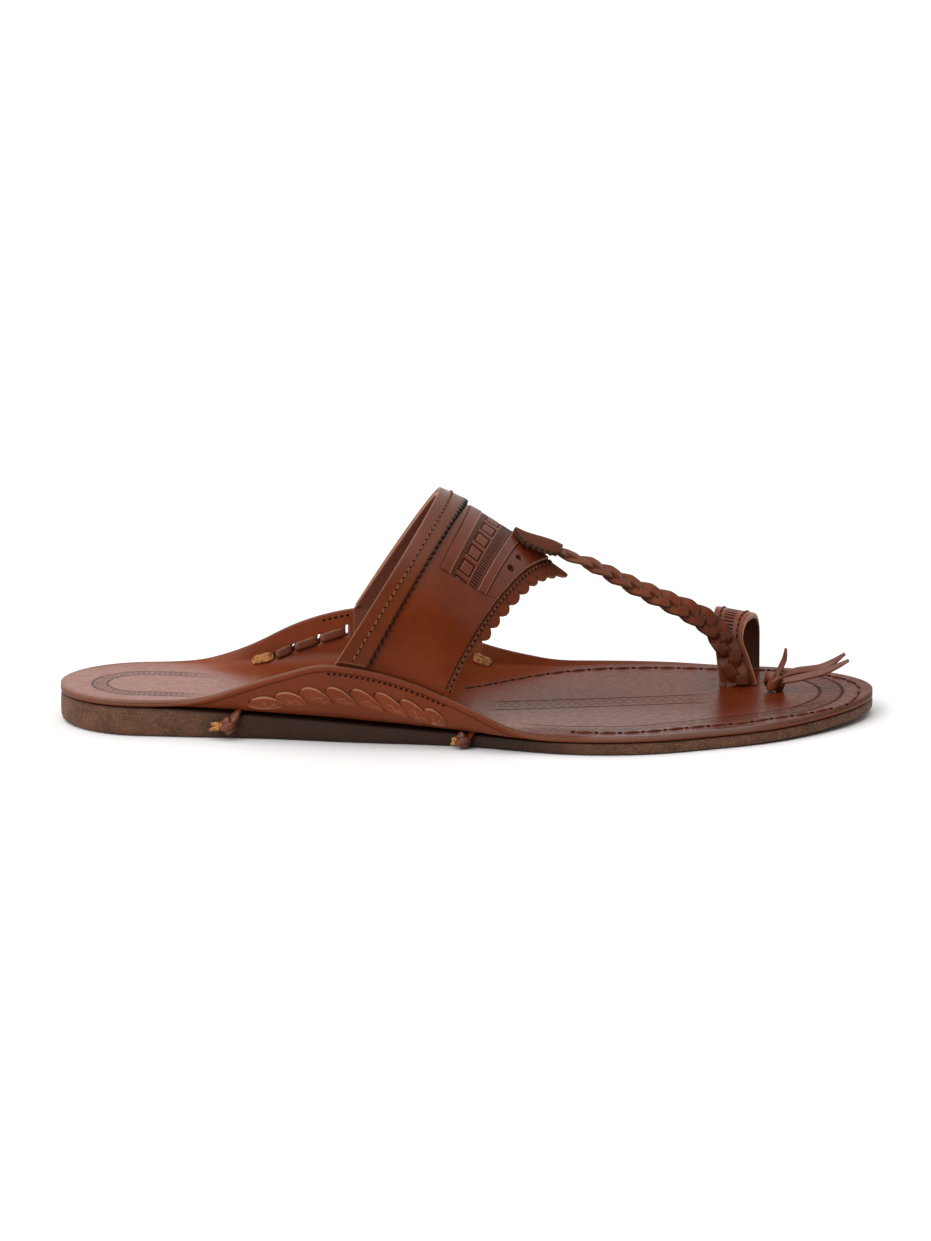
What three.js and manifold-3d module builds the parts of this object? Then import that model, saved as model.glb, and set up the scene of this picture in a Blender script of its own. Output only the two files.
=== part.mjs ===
// Kolhapuri sandal for the right foot, in millimetres: toe toward +X, inner side toward +Y, standing on z = 0.
import * as THREE from 'three';
import Module from 'manifold-3d';

const wasm = await Module();
wasm.setup();

// Driving sizes
const LENGTH = 288;
const HEEL_ROUND = 30;
const TOE_ROUND = 50;
const SEAM = 0.3;
const INSOLE_THICK = 2.4;
const STRAP_THICK = 2.0;
const COLLAR_THICK = 1.3;
const TRIM_THICK = 1.5;
const TAB_THICK = 2.3;
const LOOP_THICK = 2.4;
const OUTSOLE_BEVEL = 0.8;
const PLAN_SOFT = 12;
const EAR_SOFT = 6;
const LATERAL = -1;
const MEDIAL = 1;

// Middle of the plan, so that the part stands centred on its own box
const CENTRE_X = 0;
const CENTRE_Y = 8.756;

// Sole plan by station: middle line and half width before the ends are rounded
const SOLE_PLAN = [
  { x: -144, middle: 0.5, half: 30 },
  { x: -114, middle: 0.5, half: 30.5 },
  { x: -98, middle: 0.5, half: 31.5 },
  { x: -71, middle: 0.2, half: 31.8 },
  { x: -45, middle: -0.3, half: 34.5 },
  { x: 0, middle: 2.5, half: 41 },
  { x: 28, middle: 5, half: 51.5 },
  { x: 46, middle: 7.4, half: 56.6 },
  { x: 64, middle: 9.6, half: 57 },
  { x: 82, middle: 12.4, half: 53 },
  { x: 98, middle: 15.2, half: 48 },
  { x: 114, middle: 18.2, half: 45.2 },
  { x: 130, middle: 21.4, half: 41.6 },
  { x: 144, middle: 22.4, half: 38.5 },
];

// Outsole by station: its thickness and how far its underside lifts off the floor
const OUTSOLE = [
  { x: -144, thick: 10.2, lift: 0 },
  { x: -110, thick: 10.1, lift: 0 },
  { x: -71, thick: 8.3, lift: 0 },
  { x: -45, thick: 7.2, lift: 0 },
  { x: -20, thick: 5.7, lift: 0 },
  { x: 0, thick: 4.7, lift: 0 },
  { x: 30, thick: 4.2, lift: 0 },
  { x: 88, thick: 4.2, lift: 0 },
  { x: 112, thick: 4.2, lift: 0.3 },
  { x: 130, thick: 4.2, lift: 1.0 },
  { x: 144, thick: 4.2, lift: 1.8 },
];

// Ears of the insole by station: how far the rim stands out from the outsole, where the bend turns, and the rise
const EAR_LATERAL = [
  { x: -144, flare: 0, corner: -5, rise: 0 },
  { x: -110, flare: 0, corner: -5, rise: 0.2 },
  { x: -98, flare: 0, corner: -4, rise: 1.3 },
  { x: -89, flare: 0.5, corner: -3, rise: 3.5 },
  { x: -80, flare: 2.4, corner: -1.5, rise: 7.2 },
  { x: -70, flare: 4.6, corner: 0.6, rise: 11.6 },
  { x: -59.5, flare: 5.8, corner: 1.8, rise: 15.6 },
  { x: -46, flare: 6.6, corner: 2.4, rise: 19.8 },
  { x: -32, flare: 6.2, corner: 2.6, rise: 18.9 },
  { x: -15.7, flare: 5.6, corner: 2.8, rise: 15.5 },
  { x: -5, flare: 5.4, corner: 3.0, rise: 11.8 },
  { x: 8, flare: 5.2, corner: 2.4, rise: 6.8 },
  { x: 17.5, flare: 3.6, corner: 1.0, rise: 2.6 },
  { x: 27, flare: 1.8, corner: -2, rise: 0.4 },
  { x: 40, flare: 0.3, corner: -5, rise: 0 },
  { x: 144, flare: 0, corner: -5, rise: 0 },
];
const EAR_MEDIAL = [
  { x: -144, flare: 0, corner: -5, rise: 0 },
  { x: -112, flare: 0, corner: -5, rise: 0.2 },
  { x: -99.6, flare: 0, corner: -4, rise: 1.1 },
  { x: -86.6, flare: 0.8, corner: -2.6, rise: 4.8 },
  { x: -77, flare: 2.6, corner: -0.8, rise: 8.8 },
  { x: -65.6, flare: 5.0, corner: 1.2, rise: 14.8 },
  { x: -52, flare: 6.6, corner: 2.2, rise: 19.5 },
  { x: -38.6, flare: 7.0, corner: 2.6, rise: 22 },
  { x: -25, flare: 6.2, corner: 2.8, rise: 20.6 },
  { x: -10, flare: 5.2, corner: 3.0, rise: 15.4 },
  { x: 4.3, flare: 3.6, corner: 1.6, rise: 9.6 },
  { x: 20.4, flare: 1.6, corner: -1, rise: 5 },
  { x: 32, flare: 0.6, corner: -4, rise: 2.4 },
  { x: 50, flare: 0, corner: -5, rise: 1.2 },
  { x: 75, flare: 0, corner: -5, rise: 0.4 },
  { x: 92, flare: 0, corner: -5, rise: 0 },
  { x: 144, flare: 0, corner: -5, rise: 0 },
];
const EAR_ROOT = 0.68;
const EAR_BEND_END = 0.35;

// Instep strap: stations of its rear and front edge at the ears and on the ridge, and the ridge line
const STRAP = { rearFoot: -43, frontFoot: -2.8, rearTop: -10, frontTop: 32 };
const STRAP_BULGE = 5;
const TONGUE = 1.4;
const STRAP_TUCK = 0.8;
const STRAP_EAR_GAP = 0.35;
const RIDGE_Y = 2;
const RIDGE = [
  { x: -60, z: 106 },
  { x: -11, z: 82.4 },
  { x: 0, z: 77.8 },
  { x: 6, z: 74.8 },
  { x: 17, z: 68 },
  { x: 28, z: 60.4 },
  { x: 36, z: 54.6 },
  { x: 50, z: 44 },
];

// Value of one column of a table at a key, by a smooth curve that never overshoots its rows
function track(rows, key, name) {
  const xs = rows.map((row) => row[key]);
  const ys = rows.map((row) => row[name]);
  const count = xs.length;
  const steps = xs.slice(1).map((x, i) => x - xs[i]);
  const grades = steps.map((h, i) => (ys[i + 1] - ys[i]) / h);
  const slopes = xs.map((_, i) => {
    if (i === 0 || i === count - 1) return i === 0 ? grades[0] : grades[count - 2];
    if (grades[i - 1] * grades[i] <= 0) return 0;
    const before = 2 * steps[i] + steps[i - 1];
    const after = steps[i] + 2 * steps[i - 1];
    return (before + after) / (before / grades[i - 1] + after / grades[i]);
  });
  return (x) => {
    let i = xs.findIndex((edge, k) => k > 0 && x <= edge) - 1;
    if (i < 0) i = x < xs[0] ? 0 : count - 2;
    const h = steps[i];
    const t = (x - xs[i]) / h;
    if (t < 0) return ys[0] + slopes[0] * (x - xs[0]);
    if (t > 1) return ys[count - 1] + slopes[count - 1] * (x - xs[count - 1]);
    const t2 = t * t;
    const t3 = t2 * t;
    const ends = (2 * t3 - 3 * t2 + 1) * ys[i] + (3 * t2 - 2 * t3) * ys[i + 1];
    return ends + h * ((t3 - 2 * t2 + t) * slopes[i] + (t3 - t2) * slopes[i + 1]);
  };
}

// The same curve evened out over a short reach to each side
function softened(curve, reach) {
  const weights = [1, 2, 3, 2, 1];
  const total = weights.reduce((sum, weight) => sum + weight, 0);
  return (x) => weights.reduce((sum, weight, k) => sum + weight * curve(x + (reach * (k - 2)) / 2), 0) / total;
}

const lerp = THREE.MathUtils.lerp;
const clamp = THREE.MathUtils.clamp;
const vec = (x, y, z) => new THREE.Vector3(x, y, z);
const degrees = (angle) => (angle * Math.PI) / 180;

// Closed mesh from points and triangles: equal points joined, thin triangles dropped, faces turned out
function closed(points, triangles) {
  const places = new Map();
  const kept = [];
  const index = points.map((p) => {
    const key = [p.x, p.y, p.z].map((c) => Math.round(c * 1000)).join(' ');
    if (!places.has(key)) {
      places.set(key, kept.length);
      kept.push(p);
    }
    return places.get(key);
  });
  const faces = triangles
    .map((face) => face.map((corner) => index[corner]))
    .filter(([a, b, c]) => a !== b && b !== c && c !== a);
  const volume = faces.reduce((sum, [a, b, c]) => {
    const normal = kept[b].clone().cross(kept[c]);
    return sum + kept[a].dot(normal);
  }, 0);
  const turned = volume < 0 ? faces.map(([a, b, c]) => [a, c, b]) : faces;
  const geometry = new THREE.BufferGeometry();
  const coordinates = kept.flatMap((p) => [p.x, p.y, p.z]);
  geometry.setAttribute('position', new THREE.Float32BufferAttribute(coordinates, 3));
  geometry.setIndex(turned.flat());
  return geometry;
}

// Sheet of leather: an upper and a lower face over the unit square, joined around the rim
function sheet(upper, lower, rows, columns) {
  const points = [];
  const triangles = [];
  const layer = (rows + 1) * (columns + 1);
  const at = (face, i, j) => face * layer + i * (columns + 1) + j;
  for (const face of [upper, lower]) {
    for (let i = 0; i <= rows; i += 1) {
      for (let j = 0; j <= columns; j += 1) points.push(face(i / rows, j / columns));
    }
  }
  for (let i = 0; i < rows; i += 1) {
    for (let j = 0; j < columns; j += 1) {
      const top = [at(0, i, j), at(0, i + 1, j), at(0, i + 1, j + 1), at(0, i, j + 1)];
      const low = top.map((corner) => corner + layer);
      triangles.push([top[0], top[1], top[2]], [top[0], top[2], top[3]]);
      triangles.push([low[0], low[2], low[1]], [low[0], low[3], low[2]]);
    }
  }
  const rim = [];
  for (let i = 0; i < rows; i += 1) rim.push(at(0, i, 0));
  for (let j = 0; j < columns; j += 1) rim.push(at(0, rows, j));
  for (let i = rows; i > 0; i -= 1) rim.push(at(0, i, columns));
  for (let j = columns; j > 0; j -= 1) rim.push(at(0, 0, j));
  rim.forEach((a, k) => {
    const b = rim[(k + 1) % rim.length];
    triangles.push([b, a, a + layer], [b, a + layer, b + layer]);
  });
  return closed(points, triangles);
}

// Rod of leather: rings of points along a path, with a flat fan over each end
function rod(rings) {
  const sides = rings[0].length;
  const points = rings.flat();
  const triangles = [];
  for (let i = 0; i < rings.length - 1; i += 1) {
    for (let j = 0; j < sides; j += 1) {
      const k = (j + 1) % sides;
      const [a, b] = [i * sides + j, i * sides + k];
      triangles.push([a, b, b + sides], [a, b + sides, a + sides]);
    }
  }
  for (const end of [0, rings.length - 1]) {
    const middle = rings[end].reduce((sum, p) => sum.add(p), vec(0, 0, 0)).divideScalar(sides);
    const hub = points.push(middle) - 1;
    for (let j = 0; j < sides; j += 1) {
      const [a, b] = [end * sides + j, end * sides + ((j + 1) % sides)];
      triangles.push(end === 0 ? [hub, b, a] : [hub, a, b]);
    }
  }
  return closed(points, triangles);
}

// Several overlapping solids fused into one
function fused(geometries) {
  const solids = geometries.map((geometry) => new wasm.Manifold(new wasm.Mesh({
    numProp: 3,
    vertProperties: new Float32Array(geometry.getAttribute('position').array),
    triVerts: new Uint32Array(geometry.getIndex().array),
  })));
  const whole = solids.slice(1).reduce((sum, solid) => sum.add(solid), solids[0]);
  const mesh = whole.getMesh();
  const points = [];
  for (let i = 0; i < mesh.vertProperties.length; i += mesh.numProp) {
    points.push(vec(mesh.vertProperties[i], mesh.vertProperties[i + 1], mesh.vertProperties[i + 2]));
  }
  const triangles = [];
  for (let i = 0; i < mesh.triVerts.length; i += 3) triangles.push(Array.from(mesh.triVerts.slice(i, i + 3)));
  return closed(points, triangles);
}

// Sole surfaces
const planMiddle = softened(track(SOLE_PLAN, 'x', 'middle'), PLAN_SOFT);
const planHalf = softened(track(SOLE_PLAN, 'x', 'half'), PLAN_SOFT);
const soleThick = track(OUTSOLE, 'x', 'thick');
const soleLift = track(OUTSOLE, 'x', 'lift');

// Share of the full width left at a distance from a rounded end
function endRound(distance, radius) {
  const reach = clamp(1 - distance / radius, 0, 1);
  return Math.sqrt(1 - reach * reach);
}

function soleHalf(x) {
  const heel = endRound(x + LENGTH / 2, HEEL_ROUND);
  const toe = endRound(LENGTH / 2 - x, TOE_ROUND);
  return planHalf(x) * heel * toe;
}

// Station along the sole, crowded toward its rounded ends
function station(t) {
  const even = 0.15;
  const along = even * t + ((1 - even) * (1 - Math.cos(Math.PI * t))) / 2;
  return LENGTH * (along - 0.5);
}

const outsoleTop = (x) => soleLift(x) + soleThick(x);
const footbed = (x) => outsoleTop(x) + SEAM + INSOLE_THICK;

function outsole() {
  const face = (inset, height) => (t, v) => {
    const x = station(t);
    const half = Math.max(soleHalf(x) - inset, 0);
    const shift = inset * (1 - 2 * t);
    return vec(x + shift, planMiddle(x) + half * (2 * v - 1), height(x));
  };
  return sheet(face(0, outsoleTop), face(OUTSOLE_BEVEL, soleLift), 46, 4);
}

// Ear of the insole: the plan points of its bend and rim on the footbed side
function earTracks(rows) {
  return {
    flare: softened(track(rows, 'x', 'flare'), EAR_SOFT),
    corner: softened(track(rows, 'x', 'corner'), EAR_SOFT),
    rise: softened(track(rows, 'x', 'rise'), EAR_SOFT),
  };
}
const EARS = { [LATERAL]: earTracks(EAR_LATERAL), [MEDIAL]: earTracks(EAR_MEDIAL) };

function earFrame(side, x) {
  const half = soleHalf(x);
  const full = clamp(half / planHalf(x), 0, 1);
  const middle = planMiddle(x);
  const ear = EARS[side];
  const low = footbed(x);
  const place = (out, up) => ({ y: middle + side * out, z: low + up });
  const root = place(half * EAR_ROOT, 0);
  const corner = place(half + ear.corner(x) * full, 0);
  const rim = place(half + ear.flare(x) * full, ear.rise(x) * full);
  const bend = { y: lerp(corner.y, rim.y, EAR_BEND_END), z: lerp(corner.z, rim.z, EAR_BEND_END) };
  return { root, corner, bend, rim };
}

// Point of an ear at a share of its width: 0 at the root of the bend, 1 at the rim, pushed outward by a depth
function earPoint(side, x, share, depth) {
  const { root, corner, bend, rim } = earFrame(side, x);
  const split = 0.5;
  let point;
  let run;
  if (share < split) {
    const t = share / split;
    const mix = (a) => (1 - t) * (1 - t) * root[a] + 2 * t * (1 - t) * corner[a] + t * t * bend[a];
    const slope = (a) => (1 - t) * (corner[a] - root[a]) + t * (bend[a] - corner[a]);
    point = { y: mix('y'), z: mix('z') };
    run = { y: slope('y'), z: slope('z') };
  } else {
    const t = (share - split) / (1 - split);
    point = { y: lerp(bend.y, rim.y, t), z: lerp(bend.z, rim.z, t) };
    run = { y: rim.y - corner.y, z: rim.z - corner.z };
  }
  const size = Math.hypot(run.y, run.z);
  const outY = size > 1e-6 ? (side * Math.abs(run.z)) / size : 0;
  const outZ = size > 1e-6 ? -Math.abs(run.y) / size : -1;
  return vec(x, point.y + outY * depth, point.z + outZ * depth);
}

// Insole: straight and bent part of the lateral ear, flat footbed, then the medial ear
function insole() {
  const earCells = 6;
  const bedCells = 4;
  const cells = 2 * earCells + bedCells;
  const face = (depth) => (t, v) => {
    const x = station(t);
    const cell = Math.round(v * cells);
    if (cell <= earCells) return earPoint(LATERAL, x, 1 - cell / earCells, depth);
    if (cell >= earCells + bedCells) return earPoint(MEDIAL, x, (cell - earCells - bedCells) / earCells, depth);
    const near = earPoint(LATERAL, x, 0, depth);
    const far = earPoint(MEDIAL, x, 0, depth);
    return near.lerp(far, (cell - earCells) / bedCells);
  };
  return sheet(face(0), face(INSOLE_THICK), 46, cells);
}

// Instep surface: along 0 at the rear edge and 1 at the front edge, around -1 at the lateral ear to 1 at the medial
const ridgeHeight = track(RIDGE, 'x', 'z');

// Share of the way forward from ear to ridge: even on the rear edge, later on the front edge, which ends in a tongue
function lean(along, angle) {
  const even = Math.sin(angle);
  const tongue = Math.pow(angle / degrees(90), TONGUE);
  return lerp(even, tongue, clamp(along, 0, 1.3));
}

function strapFoot(side, along) {
  const x = lerp(STRAP.rearFoot, STRAP.frontFoot, along);
  return earPoint(side, x, 1, -STRAP_EAR_GAP);
}

function instepPoint(along, around) {
  const side = around < 0 ? LATERAL : MEDIAL;
  const foot = strapFoot(side, along);
  const reach = Math.abs(around);
  if (reach > 1) {
    const { corner, rim } = earFrame(side, foot.x);
    const down = (reach - 1) * STRAP_TUCK * (1 - EAR_BEND_END);
    return vec(foot.x, foot.y + (corner.y - rim.y) * down, foot.z + (corner.z - rim.z) * down);
  }
  const angle = degrees(90) * (1 - reach);
  const topX = lerp(STRAP.rearTop, STRAP.frontTop, along);
  const topZ = ridgeHeight(topX);
  const rise = Math.sin(angle);
  const out = Math.cos(angle);
  const bulge = side * STRAP_BULGE * rise * out;
  const y = RIDGE_Y + (foot.y - RIDGE_Y) * out + bulge;
  return vec(lerp(foot.x, topX, lean(along, angle)), y, lerp(foot.z, topZ, rise));
}

// Direction away from the foot at a point of the instep surface
function instepNormal(along, around) {
  const step = 0.004;
  const inner = Math.sign(around) * Math.min(Math.abs(around), 2 - step);
  const back = instepPoint(along - step, inner);
  const front = instepPoint(along + step, inner);
  const right = instepPoint(along, inner - step);
  const left = instepPoint(along, inner + step);
  return front.sub(back).cross(left.sub(right)).normalize();
}

function instepOff(along, around, height) {
  return instepPoint(along, around).addScaledVector(instepNormal(along, around), height);
}

// Patch of leather on the instep surface between two heights
function instepPatch(place, low, high, rows, columns) {
  const face = (height) => (u, v) => {
    const { along, around } = place(u, v);
    return instepOff(along, around, height);
  };
  return sheet(face(high), face(low), rows, columns);
}

function instepStrap() {
  const place = (u, v) => ({ along: u, around: lerp(-2, 2, v) });
  return instepPatch(place, -STRAP_THICK, 0, 5, 40);
}

// Rear overlay of the strap, ending just above the rims of the ears
function collarStrip() {
  const footWidth = 0.27;
  const topWidth = 0.215;
  const stop = 0.985;
  const place = (u, v) => {
    const around = lerp(-stop, stop, v);
    return { along: u * lerp(topWidth, footWidth, Math.abs(around)), around };
  };
  return instepPatch(place, SEAM, SEAM + COLLAR_THICK, 1, 40);
}

// Border under the front edge of the strap, with a scalloped rim
function scallopedTrim() {
  const scallops = 21;
  const tuck = 0.14;
  const reach = 0.07;
  const bump = 0.05;
  const fade = 0.6;
  const stop = 0.97;
  const place = (u, v) => {
    const around = lerp(-stop, stop, v);
    const out = reach + bump * Math.abs(Math.sin(Math.PI * scallops * v));
    const rim = 1 + out * (1 - fade * Math.pow(Math.abs(around), 4));
    return { along: lerp(1 - tuck, rim, u), around };
  };
  const top = -STRAP_THICK - 1.5 * SEAM;
  return instepPatch(place, top - TRIM_THICK, top, 1, scallops * 5);
}

// Pinked keeper over the root of the braid: an oval laid on the ridge, lifted at its front by the braid under it
const TAB = { rearX: 16.4, frontX: 32.6, half: 6.2, pinks: 9, pinkDepth: 0.1, rearClear: 0.35, frontClear: 4.5 };

// Place on the instep surface that has a given station and a given distance from the ridge
function instepPlace(x, aside) {
  const girth = 62;
  const around = aside === 0 ? 1e-4 : aside / girth;
  const span = STRAP.frontTop - STRAP.rearTop;
  let along = (x - STRAP.rearTop) / span;
  for (let turn = 0; turn < 4; turn += 1) along += (x - instepPoint(along, around).x) / span;
  return { along, around };
}

function braidTab() {
  const face = (thick) => (u, v) => {
    const oval = Math.pow(Math.max(1 - Math.pow(Math.abs(2 * u - 1), 3), 0), 0.5);
    const pink = 1 - TAB.pinkDepth * Math.abs(Math.sin(Math.PI * TAB.pinks * u));
    const place = instepPlace(lerp(TAB.rearX, TAB.frontX, u), TAB.half * oval * pink * (2 * v - 1));
    const clear = lerp(TAB.rearClear, TAB.frontClear, u * u * (3 - 2 * u));
    return instepOff(place.along, place.around, clear + thick);
  };
  return sheet(face(TAB_THICK), face(0), TAB.pinks * 3, 4);
}

// Braid from the tongue of the strap to the foot of the toe loop: middle line, size and turn of its flat face
const BRAID = [
  { at: 0, x: 29.6, y: 2, z: 61.3, wide: 6.4, thick: 2.3, turn: 0 },
  { at: 0.08, x: 35, y: 2.3, z: 58.2, wide: 6.6, thick: 2.6, turn: 0 },
  { at: 0.16, x: 43, y: 4, z: 55.8, wide: 6.8, thick: 3.2, turn: 8 },
  { at: 0.28, x: 52.2, y: 8.5, z: 50.9, wide: 7, thick: 3.6, turn: 20 },
  { at: 0.4, x: 61.4, y: 13.5, z: 45.4, wide: 7.4, thick: 3.9, turn: 34 },
  { at: 0.52, x: 70.4, y: 18.5, z: 40.5, wide: 7.8, thick: 4.1, turn: 50 },
  { at: 0.64, x: 79.4, y: 23.4, z: 35.2, wide: 8.6, thick: 4.2, turn: 68 },
  { at: 0.74, x: 85.6, y: 26.6, z: 30.6, wide: 9, thick: 4.2, turn: 82 },
  { at: 0.82, x: 90, y: 28.2, z: 24.8, wide: 9.2, thick: 4, turn: 90 },
  { at: 0.9, x: 92.4, y: 28.6, z: 18, wide: 9.2, thick: 3.8, turn: 90 },
  { at: 1, x: 94.2, y: 28.8, z: 9.4, wide: 9.2, thick: 3.6, turn: 90 },
];

function braidFrame(t) {
  const value = (name) => track(BRAID, 'at', name)(t);
  const place = (s) => vec(track(BRAID, 'at', 'x')(s), track(BRAID, 'at', 'y')(s), track(BRAID, 'at', 'z')(s));
  const step = 0.01;
  const run = place(Math.min(t + step, 1)).sub(place(Math.max(t - step, 0))).normalize();
  const turn = degrees(value('turn'));
  const hint = vec(0, Math.cos(turn), Math.sin(turn));
  const across = hint.addScaledVector(run, -hint.dot(run)).normalize();
  const out = run.clone().cross(across);
  return { centre: place(t), run, across, out, wide: value('wide'), thick: value('thick') };
}

function braid() {
  const plaits = 17;
  const perPlait = 4;
  const sides = 10;
  const rings = [];
  for (let i = 0; i <= plaits * perPlait; i += 1) {
    const t = i / (plaits * perPlait);
    const { centre, across, out, wide, thick } = braidFrame(t);
    const ring = [];
    for (let j = 0; j < sides; j += 1) {
      const angle = (2 * Math.PI * j) / sides;
      const side = Math.cos(angle);
      const face = Math.sin(angle);
      const wave = Math.sin(Math.PI * (2 * plaits * t + Math.abs(side) + (side < 0 ? 1 : 0)));
      const swell = 1 + 0.12 * wave;
      const square = Math.pow(Math.abs(face), 0.6) * Math.sign(face);
      ring.push(centre.clone()
        .addScaledVector(across, 0.5 * wide * side * (1 + 0.06 * wave))
        .addScaledVector(out, 0.5 * thick * square * swell));
    }
    rings.push(ring);
  }
  return rod(rings);
}

// Toe loop: a band bent over the big toe, with its medial leg a little forward of the lateral one
const LOOP = { x: 94, lateralY: 31, medialY: 59, topZ: 32.2, wide: 12.4, waistCut: 4.6, skew: 3.6, square: 2.2 };

function toeLoop() {
  const face = (inset) => (u, v) => {
    const angle = Math.PI * u;
    const span = (LOOP.medialY - LOOP.lateralY) / 2 - inset;
    const power = 2 / LOOP.square;
    const shape = (value) => Math.sign(value) * Math.pow(Math.abs(value), power);
    const y = (LOOP.lateralY + LOOP.medialY) / 2 - span * shape(Math.cos(angle));
    const low = footbed(LOOP.x) + SEAM;
    const z = low + (LOOP.topZ - inset - low) * shape(Math.sin(angle));
    const side = (y - LOOP.lateralY) / (LOOP.medialY - LOOP.lateralY);
    const waist = LOOP.waistCut * Math.sin(2 * angle) ** 2 * (1 - 0.7 * side);
    return vec(LOOP.x + LOOP.skew * side - LOOP.wide / 2 + (LOOP.wide - waist) * v, y, z);
  };
  return sheet(face(0), face(LOOP_THICK), 28, 2);
}

// Strap of a thong along a hand laid path, with its half width and half thickness
function thong(rows, sides = 6) {
  const steps = (rows.length - 1) * 3;
  const value = (name, t) => track(rows.map((row, i) => ({ at: i / (rows.length - 1), v: row[name] })), 'at', 'v')(t);
  const place = (t) => vec(value('x', t), value('y', t), value('z', t));
  const rings = [];
  for (let i = 0; i <= steps; i += 1) {
    const t = i / steps;
    const run = place(Math.min(t + 0.02, 1)).sub(place(Math.max(t - 0.02, 0))).normalize();
    const flat = vec(0, 1, 0).addScaledVector(run, -run.y).normalize();
    const out = run.clone().cross(flat);
    const ring = [];
    for (let j = 0; j < sides; j += 1) {
      const angle = (2 * Math.PI * (j + 0.5)) / sides;
      ring.push(place(t)
        .addScaledVector(flat, value('wide', t) * Math.cos(angle))
        .addScaledVector(out, value('thick', t) * Math.sin(angle)));
    }
    rings.push(ring);
  }
  return rod(rings);
}

function ball(centre, radii) {
  const rings = [];
  const turns = 5;
  const sides = 8;
  for (let i = 0; i <= turns; i += 1) {
    const polar = Math.PI * lerp(0.06, 0.94, i / turns);
    const ring = [];
    for (let j = 0; j < sides; j += 1) {
      const angle = (2 * Math.PI * j) / sides;
      const offset = vec(
        -radii.x * Math.cos(polar),
        radii.y * Math.sin(polar) * Math.cos(angle),
        radii.z * Math.sin(polar) * Math.sin(angle),
      );
      ring.push(offset.add(centre));
    }
    rings.push(ring);
  }
  return rod(rings);
}

// Knot in front of the toe loop, with three thong tails that lift off the footbed
const TIE = { x: 109, y: 22, lift: 3.4 };

function tieKnot() {
  const low = footbed(TIE.x) + SEAM;
  const middle = vec(TIE.x, TIE.y, low + TIE.lift);
  const tail = (x, y, z, wide, thick) => ({ x: TIE.x + x, y: TIE.y + y, z: low + z, wide, thick });
  const upTail = thong([
    tail(0, 0, 3.4, 1.2, 0.9),
    tail(2.2, 0.4, 8.4, 1.3, 0.7),
    tail(3.6, 0.6, 12, 1.3, 0.6),
    tail(4.0, 0.6, 15.4, 0.7, 0.4),
  ]);
  const innerTail = thong([
    tail(0, 0.6, 4, 1.2, 0.9),
    tail(8.5, 2.2, 7, 1.5, 0.8),
    tail(15, 2.8, 7.6, 1.7, 1),
    tail(20.5, 2.6, 10, 1.4, 0.8),
    tail(25, 2, 13.4, 0.7, 0.4),
  ]);
  const outerTail = thong([
    tail(0, -0.8, 3, 1.2, 0.9),
    tail(10, -2.4, 5.6, 1.5, 0.8),
    tail(17, -2.8, 7.6, 1.5, 0.8),
    tail(22, -3, 9.8, 1.2, 0.7),
    tail(26.4, -3.2, 12.2, 0.7, 0.4),
  ]);
  return fused([ball(middle, { x: 4.2, y: 4.4, z: 3.1 }), upTail, innerTail, outerTail]);
}

// Lacing on the outside of an ear: a row of leaves of thong, high at each crossing
const LACING = {
  [LATERAL]: { rear: -75, front: -4, rearShare: 0.56, topShare: 0.66, frontShare: 0.54 },
  [MEDIAL]: { rear: -75, front: -4, rearShare: 0.56, topShare: 0.66, frontShare: 0.54 },
};
const LACING_LEAVES = 8;

function lacing(side) {
  const { rear, front, rearShare, topShare, frontShare } = LACING[side];
  const halfShare = 0.1;
  const relief = 1.1;
  const face = (raised) => (u, v) => {
    const x = lerp(rear, front, u);
    const bow = Math.sin(Math.PI * u);
    const share = lerp(rearShare, frontShare, u) + (topShare - (rearShare + frontShare) / 2) * bow;
    const leaf = Math.abs(Math.sin(Math.PI * LACING_LEAVES * u));
    const width = halfShare * (0.45 + 0.55 * leaf);
    const crown = 1 - Math.abs(2 * v - 1);
    const height = 0.5 + (relief - 0.5) * crown * (0.4 + 0.6 * leaf);
    const depth = INSOLE_THICK + SEAM + (raised ? height : 0);
    return earPoint(side, x, share + width * (2 * v - 1), depth);
  };
  return sheet(face(true), face(false), LACING_LEAVES * 4, 2);
}

// Running thong on the inside of an ear, behind the strap
const INNER_THONG = { rear: -77, front: -46.5, rearShare: 0.34, frontShare: 0.72, halfShare: 0.075, thick: 0.9, clear: 0.55 };

function innerThong(side) {
  const { rear, front, rearShare, frontShare, halfShare, thick, clear } = INNER_THONG;
  const bites = 4;
  const face = (raised) => (u, v) => {
    const x = lerp(rear, front, u);
    const share = lerp(rearShare, frontShare, u);
    const bite = Math.abs(Math.sin(Math.PI * bites * u));
    const width = halfShare * (0.7 + 0.3 * bite);
    const height = raised ? 0.45 + (thick - 0.45) * bite : 0;
    return earPoint(side, x, share + width * (2 * v - 1), -clear - height);
  };
  return sheet(face(true), face(false), bites * 5, 2);
}

// Knotted thong ends that hang beside the outsole
const SOLE_KNOTS = [
  { name: 'sole_knot_lateral_heel', side: LATERAL, x: -82.5, drop: 3.6, tail: 5 },
  { name: 'sole_knot_lateral_waist', side: LATERAL, x: 1.5, drop: 1.6, tail: 2.4 },
  { name: 'sole_knot_medial_heel', side: MEDIAL, x: -82.5, drop: 3.6, tail: 5 },
  { name: 'sole_knot_medial_waist', side: MEDIAL, x: 1.5, drop: 1.6, tail: 2.4 },
];
const KNOT = { long: 2.8, radius: 2.1, tall: 2.6, out: 2.8, neck: 1 };

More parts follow.
